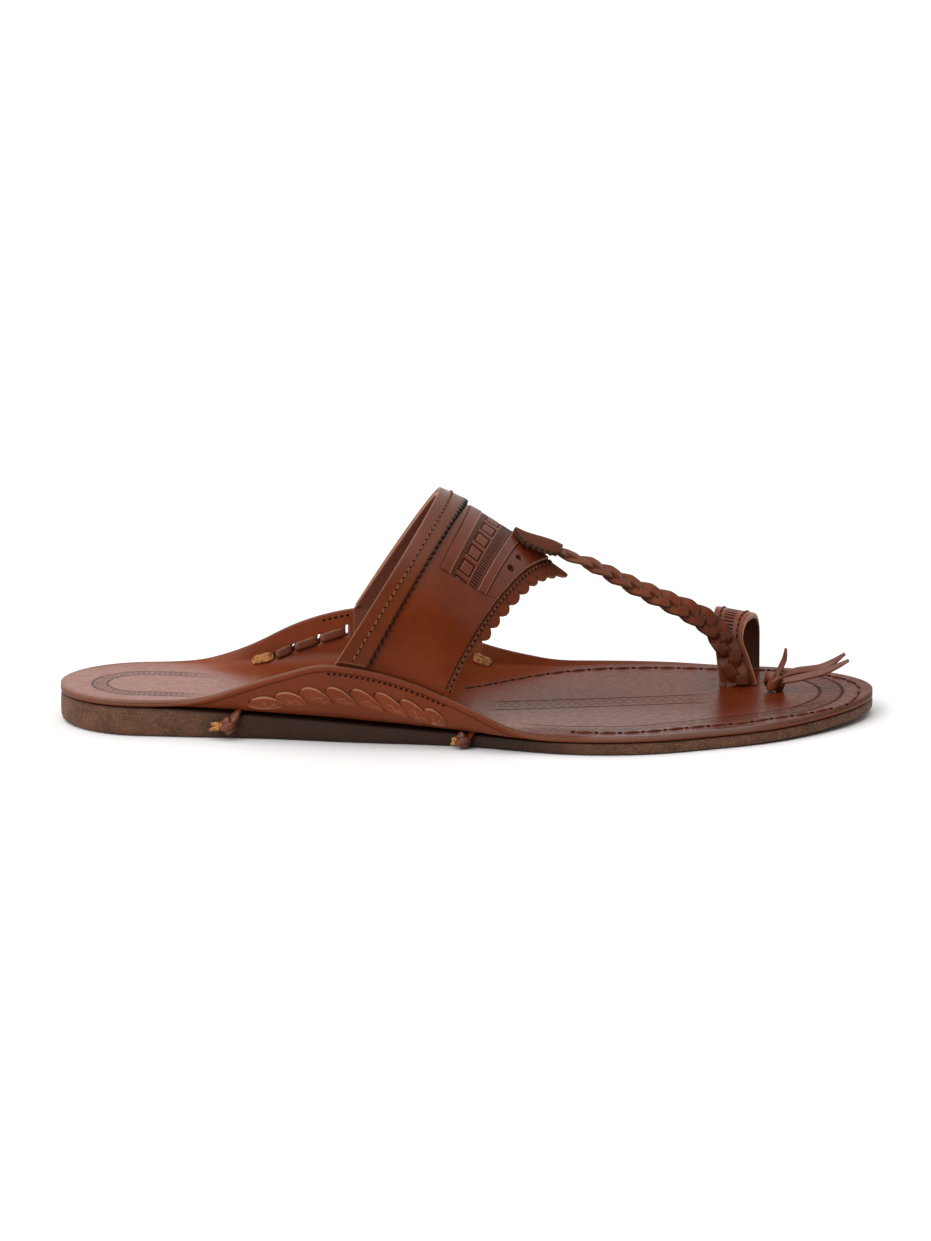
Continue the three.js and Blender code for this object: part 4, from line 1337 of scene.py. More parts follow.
    def sheet(self) -> None:
        """Upper and lower face with rounded rims and the slots of the thong."""
        lines = np.concatenate([[s[0] - self.slot_half, s[0] + self.slot_half] for s in self.slots])
        x = np.unique(np.concatenate([self.sole.station(np.linspace(0, 1, self.stations)), lines]))
        steps = np.linalg.norm(np.diff(self.face(x, 0.0), axis=1), axis=-1)
        from_near = np.concatenate([np.zeros((len(x), 1)), np.cumsum(steps, 1)], 1)
        away = np.minimum(from_near, from_near[:, -1:] - from_near)
        drop = rim_drop(away, self.rim)
        top, bottom = self.face(x, drop), self.face(x, self.sole.insole_thick - drop)
        edge = smooth(self.rim * 0.8, 0.0, away)
        form = slab(top, bottom, {**self.stamp.fields(top), "edge": edge, **self.sheen_and_rub_fields(top, from_near)}, self.cells(x))
        form.fields["under"] *= self.flesh_share
        form.fields["haze"][away.size:] = self.outer_haze
        # share of the paler colour on the outer face
        form.fields["worn"][away.size:] = self.outer_pale_share
        bare = (top[..., 1] >= self.sole.middle(x)[:, None]) & (x[:, None] >= self.lined_heel)
        form.fields["away"] = np.tile(np.where(bare, away.max(), away).ravel(), 2)
        form.piece("insole_top", self.palette.bed, Slot.SOLE, "insole")

    def seam(self) -> None:
        """Running stitch parallel to the edge, up the outer side, round the toe and back along the inner side."""
        ease = np.sin(np.linspace(0, 1, 160) * np.pi / 2)
        rows = []
        for column, (side, start) in enumerate(zip(Side, self.seam_starts), 1):
            x = blend(start, self.seam_end, ease)
            out = self.sole.plan_half(x) - table(self.inset, column)(x)
            out = out * end_round(self.seam_end - x, self.seam_round)
            rows.append(np.stack([x, self.sole.middle(x) + int(side) * out]))
        path = self.sole.on_bed(*np.concatenate([rows[0], rows[1][:, ::-1][:, 1:]], 1))
        self.sew(self.sewing, ("forefoot_stitch", "forefoot_stitch_hole_shade"), self.palette.foot_thread, Slot.SOLE,
                 (path, np.tile(UP, (len(path), 1))))


@dataclass
class InstepStrap(Piece):
    """Band over the instep with its stamped panel, punched holes and front seam."""

    form: InstepForm
    thick: float = 2.0
    rim: float = 0.55
    along_mm: float = 42.0
    # place around and radius of each punched hole
    holes: Rows = ((0.06, 0.75), (0.142, 1.0), (0.23, 1.3))
    hole_strip: float = 38.0
    low_haze: float = 0.17
    inner_haze: float = 0.35
    sewing: Sewing = Sewing(2.2, 2.05, 0.9, 0.45, 15.0, (0.7, 0.85, 0.3))
    stamp: StrapStamp = StrapStamp()
    ridge_mm: float = 48.8
    side_mm: float = 79.0
    strip_lean: float = 0.15
    strip_fan: float = 0.3
    # place along, and place around of the lower edge of the panel
    low_rows: Rows = ((0.0, 0.488), (0.375, 0.478), (0.7, 0.462), (0.98, 0.414), (1.1, 0.388))
    # place around, and place along of the cut edge in front of the panel
    front_rows: Rows = (
        (0.0, 0.94), (0.1, 0.938), (0.2, 0.945), (0.31, 0.962), (0.42, 0.972), (0.6, 0.985), (1.0, 0.95),
    )

    def strip(self, along: Array, around: Array) -> Array:
        """Distance in mm from the rear edge along the stamped strips, which fan out toward the foot."""
        reach = np.abs(around)
        return self.ridge_mm * (along - self.strip_lean * reach) / (1 + self.strip_fan * reach)

    def front_line(self, around: Array) -> Array:
        """Place along the strap of the cut edge in front of the panel."""
        return table(self.front_rows, 1)(np.abs(around))

    def build(self) -> None:
        """Make the sheet and its front seam."""
        near = np.array([0.0, 0.12, 0.4, 1.0]) * self.rim / self.along_mm
        u = np.concatenate([near, np.linspace(0.03, 0.26, 12), np.linspace(0.26, 0.88, 86)[1:],
                            np.linspace(0.88, 0.98, 8)[1:], 1 - near[::-1]])[:, None]
        half = np.concatenate([np.linspace(0, 0.5, 112), np.linspace(0.5, 1.1, 36)[1:], np.linspace(1.1, 2, 10)[1:]])
        v = mirrored(half)[None, :]
        away = np.minimum(u, 1 - u) * self.along_mm
        drop = rim_drop(away, self.rim) + 0 * v
        along = u * self.front_line(v)
        strip, run = self.strip(along, v), self.form.run(v) + 0 * u
        low = table(self.low_rows, 1)(along)
        hole = np.minimum.reduce([np.hypot(strip - self.hole_strip, run - self.form.run(np.array(r))) - size
                                  for r, size in self.holes])
        panel = (low - np.abs(v)) * self.side_mm
        top = self.form.off(along, v + 0 * u, self.stamp.relief(strip, run, panel, hole) - drop)
        bottom = self.form.off(along, v + 0 * u, drop - self.thick)
        behind = blend(1.0, 0.35, smooth(0.02, 0.15, v))
        shown = np.where(u > 0.5, 0.15 + 0.85 * smooth(0.58, 0.44, np.abs(v)), behind)
        fields = {"strip": strip, "run": run, "panel": panel, "hole": hole,
                  "edge": smooth(self.rim * 0.9, 0.0, away) * shown}
        fields["haze"] = blend(1.0, self.low_haze, smooth(0.56, 0.70, np.abs(v))) + 0 * u
        band = slab(top, bottom, fields)
        band.fields["haze"][away.size * v.size:] = self.inner_haze
        band.piece("instep_strap_stamped", self.palette.strap, Slot.STRAP, "instep_strap")
        self.seam()

    def seam(self) -> None:
        """Thread row on the border just in front of the cut edge."""
        r = np.linspace(-0.97, 0.97, 240)
        at = self.front_line(r) + 0.036
        path, out = self.form.off(at, r, -0.85), self.form.normal(at, r)
        names = ("front_seam_thread", "front_seam_hole_shade")
        self.sew(self.sewing, names, self.palette.brown_thread, Slot.STRAP, (path, out))


@dataclass
class CollarStrip(Piece):
    """Overlay along the rear edge of the strap, sewn down its middle, with a pinked front edge."""

    form: InstepForm
    seat: float = 0.05
    low: float = 0.3
    thick: float = 1.3
    rim: float = 0.45
    reach: float = 0.985
    top_share: float = 0.215
    foot_share: float = 0.27
    teeth: int = 62
    tooth: float = 0.05
    per_tooth: int = 8
    wide_mm: float = 10.5
    sewing: Sewing = Sewing(2.4, 2.2, 0.95, 0.42, 13.0, (0.6, 0.8, 0.2))

    def build(self) -> None:
        """Make the strip and its thread."""
        v = np.linspace(-1, 1, self.teeth * self.per_tooth + 1)[None, :] * self.reach
        wide = blend(self.top_share, self.foot_share, np.abs(v))
        u = rim_lines(self.wide_mm, 14, self.rim)[:, None]
        point = zigzag(np.linspace(0, self.teeth, v.shape[1]))[None, :] ** 0.8
        tip = wide + self.tooth * (point - 0.35)
        along = blend(u * wide, u * tip, smooth(0.55, 1.0, u))
        away = np.minimum(u, 1 - u) * self.wide_mm + 0 * v
        drop = rim_drop(away, self.rim)
        top = self.form.off(along, v + 0 * u, self.low + self.thick - drop)
        bottom = self.form.off(along, v + 0 * u, self.seat + drop * 0.4)
        # near black over the pinked teeth: inked edge, with painted shade in the gaps between the teeth
        ink = smooth(wide - 0.009, wide + 0.004, along)
        haze = blend(1.0, 0.22, smooth(0.40, 0.68, np.abs(v))) + 0 * u
        pale = smooth(self.rim * 0.9, 0.0, away) * blend(1.0, 0.4, smooth(0.02, 0.15, v))
        fields = {"edge": pale, "ink": ink, "haze": haze, "worn": 0 * haze}
        slab(top, bottom, fields).piece("collar_strip_pinked", self.palette.collar, Slot.TRIM, "collar_strip")
        r = np.linspace(-0.97, 0.97, 300)
        at = blend(0.105, 0.132, np.clip(np.abs(r) / 0.6, 0, 1))
        path, out = self.form.off(at, r, self.low + self.thick), self.form.normal(at, r)
        names = ("collar_thread", "collar_thread_hole_shade")
        self.sew(self.sewing, names, self.palette.tan_thread, Slot.TRIM, (path, out))


@dataclass
class ScallopedTrim(Piece):
    """Border under the front edge of the strap, cut into round lobes and plain near the ears."""

    strap: InstepStrap
    per_lobe: int = 18
    wide_mm: float = 9.0
    tuck: float = 0.1
    around: float = 0.97
    top: float = -0.95
    thick: float = 1.5
    rim: float = 0.55
    # place around of the notches between the lobes, from the ridge down
    notches: tuple[float, ...] = (0.0, 0.048, 0.098, 0.152, 0.212, 0.289, 0.375, 0.457, 0.538, 0.623, 0.712)
    # place around, reach of the rim beyond the front of the strap and depth of the lobes
    rows: Rows = (
        (0.0, 0.115, 0.02), (0.05, 0.075, 0.035), (0.1, 0.055, 0.04), (0.18, 0.045, 0.045), (0.3, 0.06, 0.05),
        (0.45, 0.07, 0.055), (0.6, 0.07, 0.055), (0.69, 0.065, 0.05), (0.74, 0.03, 0.0),
        (0.9, 0.012, 0.0), (1.0, 0.0, 0.0),
    )

    def build(self) -> None:
        """Make the border: its rim stands out by a row of half rounds that ends above the ears."""
        lobes = zip(self.notches, self.notches[1:])
        half = np.concatenate([np.linspace(a, b, self.per_lobe + 1)[:-1] for a, b in lobes])
        half = np.concatenate([half, np.linspace(self.notches[-1], self.around, 30)])
        v = mirrored(half)[None, :]
        reach = np.abs(v)
        phase = np.interp(reach, self.notches, np.arange(len(self.notches), dtype=float))
        lobe = np.abs(np.sin(np.pi * phase)) ** 0.75
        out = table(self.rows, 1)(reach) + table(self.rows, 2)(reach) * lobe
        u = rim_lines(self.wide_mm, 14, self.rim)[:, None]
        line = self.strap.front_line(v)
        along = blend(line - self.tuck, np.maximum(1 + out, line + 0.04), u)
        away = (1 - u) * self.wide_mm + 0 * v
        drop = rim_drop(away, self.rim)
        level = blend(-self.strap.thick - 0.1, self.top, smooth(-0.02, 0.012, along - line))
        form = self.strap.form
        face = form.off(along, v + 0 * u, level - drop)
        back = form.off(along, v + 0 * u, level - self.thick + drop * 0.6)
        # near black in the notches between the lobes, near the rim: painted shade
        notch_shade = smooth(0.5, 0.0, lobe) * smooth(0.7, 1.0, u) * (reach < self.notches[-1])
        fields = {"edge": smooth(self.rim * 0.7, 0.0, away) * 0.3, "ink": notch_shade * 0.8}
        slab(face, back, fields).piece("scalloped_border", self.palette.trim, Slot.TRIM, "scalloped_trim")


@dataclass
class BraidTab(Piece):
    """Small pinked keeper on the tongue of the strap that holds the braid."""

    form: InstepForm
    rear: float = 16.4
    front: float = 30.8
    half: float = 4.9
    thick: float = 1.7
    side_mm: float = 62.0
    off_ridge: float = 1e-4
    pinks: int = 9
    pink_depth: float = 0.12
    rear_clear: float = 0.5
    front_clear: float = 4.7
    rim: float = 0.6

    def place(self, x: Array, aside: Array) -> tuple[Array, Array]:
        """Along and around of a place that is x along the foot and aside from the ridge.

        Args:
            x: stations.
            aside: distances from the ridge.

        Returns:
            Along and around, the first found in four steps toward the station.
        """
        around = np.where(aside == 0, self.off_ridge, aside / self.side_mm)
        length = self.form.front_top - self.form.rear_top
        along = (x - self.form.rear_top) / length
        for _ in range(4):
            along = along + (x - self.form.point(along, around)[..., 0]) / length
        return along, around

    def build(self) -> None:
        """Make the keeper: an oval with small notches round it, domed over the start of the braid."""
        u = np.linspace(0, 1, 91)[:, None]
        c = np.concatenate([[-1, -0.985, -0.95], np.linspace(-0.9, 0.9, 23), [0.95, 0.985, 1]])[None, :]
        oval = np.sqrt(np.clip(1 - np.abs(2 * u - 1) ** 3, 0, 1))
        pink = 1 - self.pink_depth * np.abs(np.sin(np.pi * self.pinks * u))
        aside = c * self.half * oval * pink
        x = blend(self.rear, self.front, u) + 0 * c
        along, around = self.place(x, aside)
        clear = blend(self.rear_clear, self.front_clear, smooth(0, 1, u)) + 0 * c
        away = (1 - np.abs(c)) * self.half * oval
        drop = rim_drop(away, self.rim)
        top = self.form.off(along, around, clear + self.thick - drop)
        bottom = self.form.off(along, around, clear + drop * 0.3)
        # near black along the pinked rim, inked edge with painted shade, and a little darker all over
        ink = np.maximum(smooth(self.rim * 1.1, 0.2, away) * 0.85, 0.22)
        fields = {"edge": smooth(self.rim, 0.0, away) * 0.2, "ink": ink}
        slab(top, bottom, fields).piece("braid_keeper", self.palette.trim, Slot.TRIM, "braid_tab")


# share of the run, place, width and thickness of the braid, and turn of its width
BRAID = (
    (0, 27.4, 2, 64.6, 5.4, 2.2, 14), (0.08, 35, 2.4, 60.4, 5.8, 2.4, 20), (0.16, 43, 4, 56.9, 6.4, 2.8, 28),
    (0.28, 52.2, 8.5, 51.4, 7, 3.2, 36), (0.4, 61.4, 13.5, 45.6, 7.4, 3.5, 46), (0.52, 70.4, 18.5, 40.5, 7.8, 3.7, 58),
    (0.64, 79.4, 23.4, 35.2, 8.6, 3.8, 70), (0.74, 85.6, 26.6, 30.6, 9, 3.8, 82), (0.82, 90, 28.5, 24.8, 9.2, 3.8, 90),
    (0.9, 93, 29.2, 18, 9.2, 3.7, 90), (1, 96.2, 29.4, 7.5, 9.2, 3.6, 90),
)


@dataclass
class Braid(Piece):
    """Three strand plait from the keeper down to the toe loop."""

    turns: float = 3.75
    samples: int = 260
    strand_wide: float = 0.255
    strand_thick: float = 0.18

    def build(self) -> None:
        """Lay three flat strands: each sways across the run once a turn and dips twice, a third of a turn apart."""
        at = np.linspace(0, 1, self.samples)
        path = np.stack([table(BRAID, c)(at) for c in (1, 2, 3)], -1)
        wide, thick = table(BRAID, 4)(at), table(BRAID, 5)(at)
        turn = np.radians(table(BRAID, 6)(at))
        run = unit(np.gradient(path, axis=0))
        hint = np.stack([0 * at, np.cos(turn), np.sin(turn)], -1)
        across = unit(hint - run * (hint * run).sum(-1, keepdims=True))
        out = np.cross(run, across)
        strands = []
        for k in range(3):
            phase = 2 * np.pi * (self.turns * at + k / 3)
            sway = (np.sin(phase) + 0.05 * np.sin(3 * phase)) * 1.05 * wide * (0.5 - self.strand_wide)
            dip = -np.clip(1.35 * np.sin(2 * phase), -1, 1) * thick * 0.185
            centre = path + across * sway[:, None] + out * dip[:, None]
            strand = tube(centre, across, wide * self.strand_wide, thick * self.strand_thick, 28, 4.2)
            rim, place = strand.fields["rim"], strand.fields["place"]
            strand.fields["edge"] = rim * 0.3
            # near black along both sides of each strand: painted shade in the gaps between strands; the strands also
            # darken toward their lower end
            gap_shade = 0.9 * smooth(0.25, 0.65, rim) * (1 - 0.8 * smooth(0.75, 1.0, rim))
            strand.fields["ink"] = np.maximum(gap_shade, 0.25 * smooth(0.76, 0.9, place))
            strands.append(strand)
        merged(strands).piece("braid_plait", self.palette.plait, Slot.THONG, "braid")


@dataclass
class ToeLoop(Piece):
    """Loop for the big toe: a leather band bent into an arch, with two stitch rows and stamped ticks."""

    sole: SoleForm
    x: float = 94.0
    lateral_y: float = 31.0
    medial_y: float = 59.0
    top_z: float = 32.8
    tilt: float = 2.4
    wide: float = 12.4
    square: float = 2.15
    thick: float = 2.2
    rim: float = 0.6
    sewing: Sewing = Sewing(2.4, 1.9, 0.75, 0.4, 10.0, (0.9, 0.75, 0.28))
    # place round the arch, and the rear and the front edge of the band from its middle station
    edges: Rows = (
        (0.0, -4.8, 8.7), (0.12, -6.0, 6.0), (0.25, -7.0, 3.4), (0.38, -7.2, 4.4), (0.5, -6.7, 6.6), (0.65, -5.2, 8.6),
        (0.8, -4.0, 9.2), (1.0, -2.6, 9.2),
    )

    def point(self, u: Array, v: Array, inset: Array | float) -> Array:
        """Point of the arch: a squared half round in y and z, its two edges read from the table.

        Args:
            u: place round the arch from the outer foot to the inner foot.
            v: place across the band from rear to front.
            inset: distance inside the outer face.

        Returns:
            Points in mm.
        """
        angle = np.pi * u
        middle, half = (self.lateral_y + self.medial_y) / 2, (self.medial_y - self.lateral_y) / 2

        def shape(s: Array) -> Array:
            """Squared off sine or cosine."""
            return np.sign(s) * np.abs(s) ** (2 / self.square)

        y = middle - (half - inset) * shape(np.cos(angle))
        low = float(self.sole.footbed(self.x)) + self.sole.seam
        high = self.top_z - inset - self.tilt * v
        z = low + (high - low) * shape(np.clip(np.sin(angle), 0, 1))
        x = self.x + blend(table(self.edges, 1)(u), table(self.edges, 2)(u), v)
        return np.stack(np.broadcast_arrays(x, y, z), -1)

    def build(self) -> None:
        """Make the band and its two stitch rows."""
        u = np.linspace(0, 1, 97)[:, None]
        v = rim_lines(self.wide, 22, self.rim)[None, :]
        away = np.minimum(v, 1 - v) * self.wide + 0 * u
        drop = rim_drop(away, self.rim)
        length = arc_length(self.point(u[:, 0], 0.5 + 0 * u[:, 0], 0.0))[:, None]
        # edge paler on the front half of the band than on the rear: cut edge with painted highlight on the front rim
        fields = {"edge": smooth(self.rim * 0.8, 0.0, away) * (0.25 + 0.75 * (v > 0.5)),
                  "width": v * self.wide + 0 * u, "run": length + 0 * v,
                  "ticked": zone(length, 6.0, 8.0, 44.0, 46.0) + 0 * v}
        slab(self.point(u, v, drop), self.point(u, v, self.thick - drop), fields).piece(
            "toe_loop_band", self.palette.loop, Slot.STRAP, "toe_loop")
        t = np.linspace(0.07, 0.93, 160)
        rows = []
        for place in (0.2, 0.8):
            path = self.point(t, np.full_like(t, place), 0.0)
            rows.append((path, unit(path - self.point(t, np.full_like(t, place), 1.0))))
        names = ("toe_loop_thread", "toe_loop_thread_hole_shade")
        self.sew(self.sewing, names, self.palette.brown_thread, Slot.STRAP, *rows)


@dataclass
class TieKnot(Piece):
    """Knot with three thong tails in front of the toe loop."""

    sole: SoleForm
    x: float = 109.0
    y: float = 22.0
    lift: float = 3.4
    size: tuple[float, float, float] = (4.2, 4.4, 3.1)
    # offset from the knot's foot, half width and half thickness along each tail
    tails: tuple[tuple[tuple[float, ...], ...], ...] = (
        ((0, 0, 3.4, 1.2, 0.9), (2.2, 0.4, 8.4, 1.3, 0.7), (3.6, 0.6, 12, 1.3, 0.6), (4, 0.6, 15.4, 0.7, 0.4)),
        ((0, 0.6, 4, 1.2, 0.9), (8.5, 2.2, 7, 1.5, 0.8), (15, 2.8, 7.6, 1.7, 1.0), (20.5, 2.6, 10, 1.4, 0.8),
         (25, 2, 13.4, 0.7, 0.4)),
        ((0, -0.8, 3, 1.2, 0.9), (10, -2.4, 5.6, 1.5, 0.8), (17, -2.8, 7.6, 1.5, 0.8), (22, -3, 9.8, 1.2, 0.7),
         (26.4, -3.2, 12.2, 0.7, 0.4)),
    )

    def build(self) -> None:
        """Tie the knot and carry a flat section along every tail."""
        foot = np.array([self.x, self.y, float(self.sole.footbed(self.x)) + self.sole.seam])
        whole = knot(foot + np.array([0, 0, self.size[2]]), self.size, 1.7, 1.0, 14.0)
        for rows in self.tails:
            data = spine(rows, 40)
            across = np.tile(np.array([-0.35, 0.6, 0.8]), (len(data), 1))
            tail = tube(data[:, :3] + foot, across, data[:, 3] * 0.85, data[:, 4] * 0.7, 14, 4.0)
            tail.fields["edge"] = tail.fields["rim"] * 0.25
            whole = whole + tail
        whole.piece("tie_knot_tails", self.palette.thong, Slot.THONG, "tie_knot")


@dataclass
class EarWork(Piece):
    """Thong work on the ears: leaf lacing outside, running thong inside and the dark stitch under the rim."""

    sole: SoleForm
    leather: float = 2.4
    relief: float = 1.5
    sewing: Sewing = Sewing(1.9, 1.45, 0.75, 0.26, 12.0)
    # station and share of the upper and of the lower end of every leaf
    leaves: Rows = (
        (-74.2, 0.50, -61.0, 0.44), (-65.2, 0.575, -52.5, 0.45), (-56.2, 0.625, -43.6, 0.465),
        (-47.0, 0.625, -34.8, 0.47), (-38.2, 0.645, -25.6, 0.45), (-29.8, 0.655, -16.8, 0.42),
        (-21.0, 0.62, -8.6, 0.39), (-12.6, 0.535, -3.6, 0.42),
    )
    # station from and to and share of every stretch of the running thong
    runs: Rows = (
        (-78.4, -71.6, 0.40, 0.49), (-70.3, -65.0, 0.50, 0.575), (-63.5, -56.1, 0.585, 0.645),
        (-54.4, -46.2, 0.655, 0.715),
    )

    def build(self) -> None:
        """Dress both ears."""
        for side in Side:
            self.lacing(side)
            self.running_thong(side)
            self.rim_stitch(side)

    def lacing(self, side: Side) -> None:
        """Low leaves lapped over each other: pointed ovals, each thickest along its upper edge.

        Args:
            side: which ear.
        """
        s = np.concatenate([[0, 0.015, 0.04], np.linspace(0.08, 0.92, 22), [0.96, 0.985, 1]])[:, None]
        c = np.concatenate([[-1, -0.97], np.linspace(-0.9, 0.84, 16), [0.9, 0.95, 0.98, 1]])[None, :]
        leaves = []
        for k, (ax, ash, bx, bsh) in enumerate(self.leaves):
            tall = self.sole.rise[side](np.array((ax + bx) / 2)) * 1.25 + 4.0
            swell = np.sin(np.pi * s ** 0.7) ** 0.75
            arch = 0.045 * np.sin(np.pi * s ** 0.6)
            half = 2.55 * swell / float(tall)
            x = blend(ax, bx, s) + c * 0.9 * swell
            share = blend(ash, bsh, s) + arch + c * half
            dome = np.sqrt(np.clip(1 - c ** 4, 0, 1)) * swell ** 0.6
            height = self.relief * dome * (0.5 + 0.5 * c) + 0.3 * np.sin(np.pi * s) - 0.15
            face = self.sole.ear(side, x, share, self.leather + 0.05 + np.maximum(height, -0.1))
            back = self.sole.ear(side, x, share, self.leather - 0.35 + 0 * height)
            pale = smooth(0.84, 0.93, c) * smooth(0.05, 0.12, s) * smooth(1.0, 0.86, s)
            curl = np.exp(-((c + 0.35 + 0.3 * np.sin(24 * s + k)) / 0.1) ** 2)
            curl = curl * zone(s, 0.35, 0.5, 0.85, 0.95)
            closed = smooth(-0.72, -0.86, c) * (k in (0, len(self.leaves) - 1)) + 0 * s
            # near black along the upper rim and at the start of each leaf: painted shade
            fields = {"edge": np.clip(np.maximum(pale, closed) * 0.95 + curl * 0.4, 0, 1),
                      "ink": np.clip(smooth(0.96, 1.0, c) * 0.6 + smooth(0.09, 0.02, s) * smooth(-0.4, 0.4, c), 0, 1)}
            leaf = slab(face, back, fields)
            leaf.fields["edge"][len(leaf.points) // 2:] = 0.0
            leaves.append(leaf)
        name = side.name.lower()
        merged(leaves).piece(f"leaf_lacing_{name}", self.palette.lace, Slot.THONG, f"lacing_{name}")

    def running_thong(self, side: Side) -> None:
        """Stretches of flat thong on the inside of an ear, bowed up between the slots, and its pale ends.

        Args:
            side: which ear.
        """
        name = side.name.lower()
        dark = merged(self.stretch(side, *run, 1.5) for run in self.runs[1:])
        dark.piece(f"running_thong_{name}", self.palette.thong, Slot.THONG, f"inner_thong_{name}")
        ends = self.stretch(side, *self.runs[0], 1.75) + self.stretch(side, 0.6, 6.2, 0.60, 0.47, 1.7)
        ends.piece(f"thong_ends_{name}", self.palette.suede, Slot.THONG)

    def stretch(self, side: Side, x0: float, x1: float, s0: float, s1: float, half: float) -> Form:
        """One bowed stretch of thong on the inner face of an ear.

        Args:
            side: which ear.
            x0: first station.
            x1: last station.
            s0: share at the first station.
            s1: share at the last station.
            half: half width in mm.

        Returns:
            The form, a flat section carried from slot to slot.
        """
        t = np.linspace(-0.06, 1.06, 22)
        x, share = blend(x0, x1, t), blend(s0, s1, t)
        bow = 0.55 * np.sqrt(np.clip(1 - (2 * t - 1) ** 4, 0, 1)) + 0.1
        centre = self.sole.ear(side, x, share, -bow)
        across = self.sole.ear(side, x, share + 0.02, 0.0) - self.sole.ear(side, x, share - 0.02, 0.0)
        taper = 1 - 0.25 * np.abs(2 * t - 1) ** 6
        part = tube(centre, across, half * taper, 0.62 * taper, 14, 4.5)
        part.fields["edge"] = part.fields["rim"] * 0.3
        return part

    def rim_stitch(self, side: Side) -> None:
        """Dark stitch just under the rim of an ear, where the strap is sewn in: outside, and behind the strap inside.

        Args:
            side: which ear.
        """
        x = np.linspace(-46.0, -4.0, 120)
        drop = 2.6 / (self.sole.rise[side](x) * 1.3)
        share = 1.0 - drop
        path = self.sole.ear(side, x, share, self.leather)
        row = self.sewing.thread(path, self.sole.ear_out(side, x, share))
        x = np.linspace(-54.5, -44.0, 40)
        share = 1.0 - 2.2 / (self.sole.rise[side](x) * 1.3)
        inner = self.sole.ear(side, x, share, 0.0)
        row = row + self.sewing.thread(inner, -self.sole.ear_out(side, x, share))
        row.piece(f"ear_stitch_{side.name.lower()}", self.palette.hole, Slot.SOLE)


@dataclass
class SoleKnot(Piece):
    """Knotted thong end that hangs over the side of the outsole."""

    sole: SoleForm
    name: str
    side: Side
    x: float
    drop: float
    tail: float
    out: float = 2.8
    clear: float = 0.2

    def build(self) -> None:
        """Bring the thong out of the seam, knot it and fray its end."""
        x, side = np.array(self.x), int(self.side)
        edge = float(self.sole.middle(x) + side * self.sole.half(x))
        z = float(self.sole.outsole_top(x)) - self.drop
        centre = np.array([self.x, edge + side * self.out, z])
        neck_rows = (
            (self.x + 3.6, edge - side * 1.2, z + self.drop + 1.2, 1.5, 0.7),
            (self.x + 3.0, edge + side * 0.9, z + self.drop + 0.6, 1.6, 0.8),
            (self.x + 1.6, edge + side * 2.2, z + self.drop * 0.55, 1.7, 0.9),
            (self.x, edge + side * self.out, z, 1.4, 0.8),
        )
        data = spine(neck_rows, 24)
        neck = tube(data[:, :3], np.tile(np.array([1.0, 0.0, 0.7]), (24, 1)), data[:, 3], data[:, 4], 12, 2.8)
        body = neck + knot(centre, (2.9, 2.2, 2.7), 1.3, 0.85, 40.0)
        body.points[:, 2] = np.maximum(body.points[:, 2], self.clear)
        body.piece(f"thong_{self.name}", self.palette.thong, Slot.THONG, self.name)
        fray = []
        for spread, short in ((-0.5, 1.0), (0.15, 0.8), (0.7, 0.9)):
            rows = (
                (self.x - 1.0, centre[1], z - 0.2, 1.1, 0.55),
                (self.x - 1.6 - self.tail * 0.45 * short, centre[1] + 0.2 * spread, z - 0.3 + spread * 0.8, 1.0, 0.5),
                (self.x - 1.6 - self.tail * short, centre[1] + 0.35 * spread, z - 0.7 + spread * 2.0, 0.45, 0.25),
            )
            data = spine(rows, 14)
            fray.append(tube(data[:, :3], np.tile(np.array([0.0, 0.3, 1.0]), (14, 1)), data[:, 3], data[:, 4], 10, 2.6))
        merged(fray).piece(f"thong_fray_{self.name}", self.palette.suede, Slot.THONG)


# name, side, station, drop below the seam and length of tail of the knots along the sole
SOLE_KNOTS = (
    ("sole_knot_lateral_heel", Side.LATERAL, -81.2, 3.6, 5.0), ("sole_knot_lateral_waist", Side.LATERAL, 1.5, 1.6, 2.4),
    ("sole_knot_medial_heel", Side.MEDIAL, -81.2, 3.6, 5.0), ("sole_knot_medial_waist", Side.MEDIAL, 1.5, 1.6, 2.4),
)


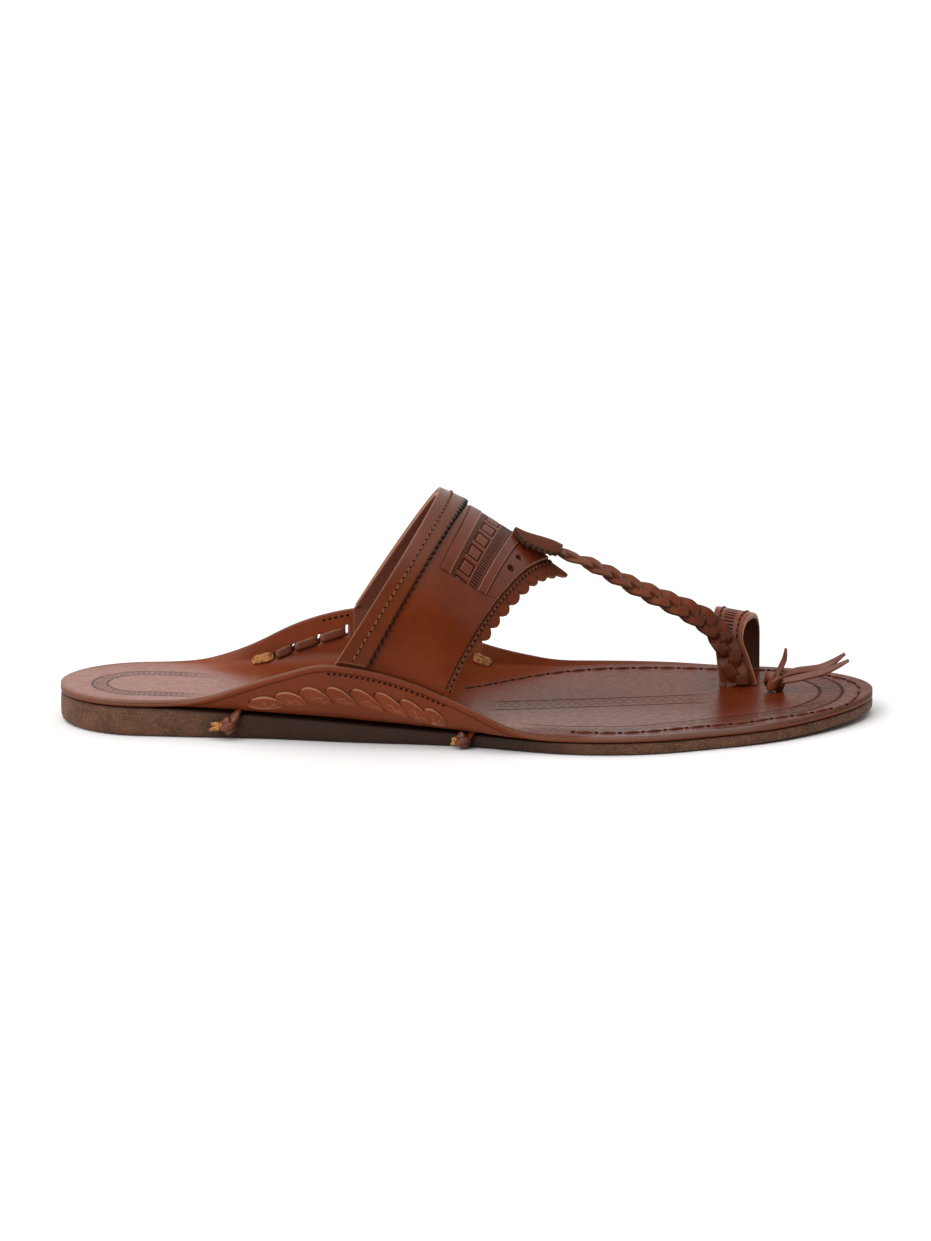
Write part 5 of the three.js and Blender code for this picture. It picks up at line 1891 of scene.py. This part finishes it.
@dataclass
class Studio:
    """Pale floor, soft light and the camera of the photograph."""

    azimuth: float = 3.5
    elevation: float = 12.6
    distance: float = 2.2
    lens: float = 180.0
    raised: float = 0.0356
    floor_reach: float = 9.0
    floor_lines: int = 25
    floor_sink: float = 0.0002
    # name, height, turn and spread in degrees, and strength of each light
    lamps: tuple[tuple[str, float, float, float, float], ...] = (
        ("sky_panel", 68.0, 245.0, 60.0, 1.0), ("key_panel", 30.0, 232.0, 40.0, 1.3),
    )
    # direction toward which the room is brightest, the range of that lean and the strengths at its ends
    room_lean: tuple[float, float, float] = (-0.45, 0.75, 0.5)
    room_steps: tuple[float, float, float, float] = (-0.5, 0.4, 0.16, 1.0)

    def build(self) -> None:
        """Set up floor, light and camera."""
        self.floor()
        self.light()
        self.camera()

    def floor(self) -> None:
        """Broad flat sheet of white paper under the sandal."""
        line = np.linspace(-self.floor_reach, self.floor_reach, self.floor_lines)
        x, y = np.meshgrid(line, line, indexing="ij")
        points = np.stack([x, y, 0 * x - self.floor_sink], -1).reshape(-1, 3)
        index = np.arange(x.size).reshape(x.shape)
        quads = grid_faces(index).reshape(-1, 4)
        mesh = bpy.data.meshes.new("paper_floor")
        mesh.from_pydata(points.tolist(), [], quads.tolist())
        paper = bpy.data.materials.new("white_paper")
        paper.use_nodes = True
        body = paper.node_tree.nodes["Principled BSDF"]
        body.inputs["Base Color"].default_value = (0.9, 0.9, 0.9, 1.0)
        body.inputs["Roughness"].default_value = 0.9
        body.inputs["Specular IOR Level"].default_value = 0.1
        mesh.materials.append(paper)
        made = bpy.data.objects.new("paper_floor", mesh)
        bpy.context.scene.collection.objects.link(made)

    def light(self) -> None:
        """White room that is darkest in front, and two broad soft lights from above and the front left."""
        scene = bpy.context.scene
        world = bpy.data.worlds.new("white_room")
        world.use_nodes = True
        scene.world = world
        tree = world.node_tree
        back = tree.nodes["Background"]
        where = tree.nodes.new("ShaderNodeTexCoord").outputs["Generated"]
        lean = tree.nodes.new("ShaderNodeVectorMath")
        lean.operation = "DOT_PRODUCT"
        tree.links.new(where, lean.inputs[0])
        lean.inputs[1].default_value = self.room_lean
        shade = tree.nodes.new("ShaderNodeMapRange")
        shade.interpolation_type = "SMOOTHSTEP"
        tree.links.new(lean.outputs["Value"], shade.inputs[0])
        for socket, value in zip(list(shade.inputs)[1:5], self.room_steps):
            socket.default_value = value
        tree.links.new(shade.outputs[0], back.inputs["Strength"])
        back.inputs["Color"].default_value = (1.0, 0.985, 0.97, 1.0)
        for name, height, turn, spread, power in self.lamps:
            lamp = bpy.data.lights.new(name, "SUN")
            lamp.energy, lamp.angle = power, math.radians(spread)
            made = bpy.data.objects.new(name, lamp)
            e, a = math.radians(height), math.radians(turn)
            place = Vector((math.cos(a) * math.cos(e), math.sin(a) * math.cos(e), math.sin(e)))
            made.rotation_euler = (-place).to_track_quat("-Z", "Y").to_euler()
            made.location = place * 3.0
            scene.collection.objects.link(made)
        scene.view_settings.view_transform = "Standard"
        scene.view_settings.look = "None"

    def camera(self) -> None:
        """Long lens at the photograph's height and turn."""
        a, e = math.radians(self.azimuth), math.radians(self.elevation)
        ahead = Vector((-math.sin(a) * math.cos(e), math.cos(a) * math.cos(e), -math.sin(e)))
        right = Vector((math.cos(a), math.sin(a), 0.0))
        up = right.cross(ahead)
        data = bpy.data.cameras.new("side_camera")
        data.lens, data.sensor_width = self.lens, 36.0
        data.clip_start, data.clip_end = 0.05, 60.0
        made = bpy.data.objects.new("side_camera", data)
        origin = Vector((0.0, -CENTRE_Y * MM, 0.0))
        turn = Matrix((right, up, -ahead)).transposed().to_4x4()
        made.matrix_world = Matrix.Translation(origin - ahead * self.distance + up * self.raised) @ turn
        bpy.context.scene.collection.objects.link(made)
        bpy.context.scene.camera = made


def main() -> None:
    """Load the frame, set up floor, light and camera, and dress every piece."""
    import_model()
    Studio().build()
    palette = Palette()
    sole = SoleForm()
    instep = InstepForm(sole)
    strap = InstepStrap(palette, instep)
    builders: list[Piece] = [
        Outsole(palette, sole), Insole(palette, sole), strap, CollarStrip(palette, instep),
        ScallopedTrim(palette, strap), BraidTab(palette, instep), Braid(palette), ToeLoop(palette, sole),
        TieKnot(palette, sole), EarWork(palette, sole), *(SoleKnot(palette, sole, *row) for row in SOLE_KNOTS),
    ]
    for builder in builders:
        builder.build()


if __name__ == "__main__":
    logging.basicConfig(level=logging.INFO, format="%(name)s %(message)s")
    main()
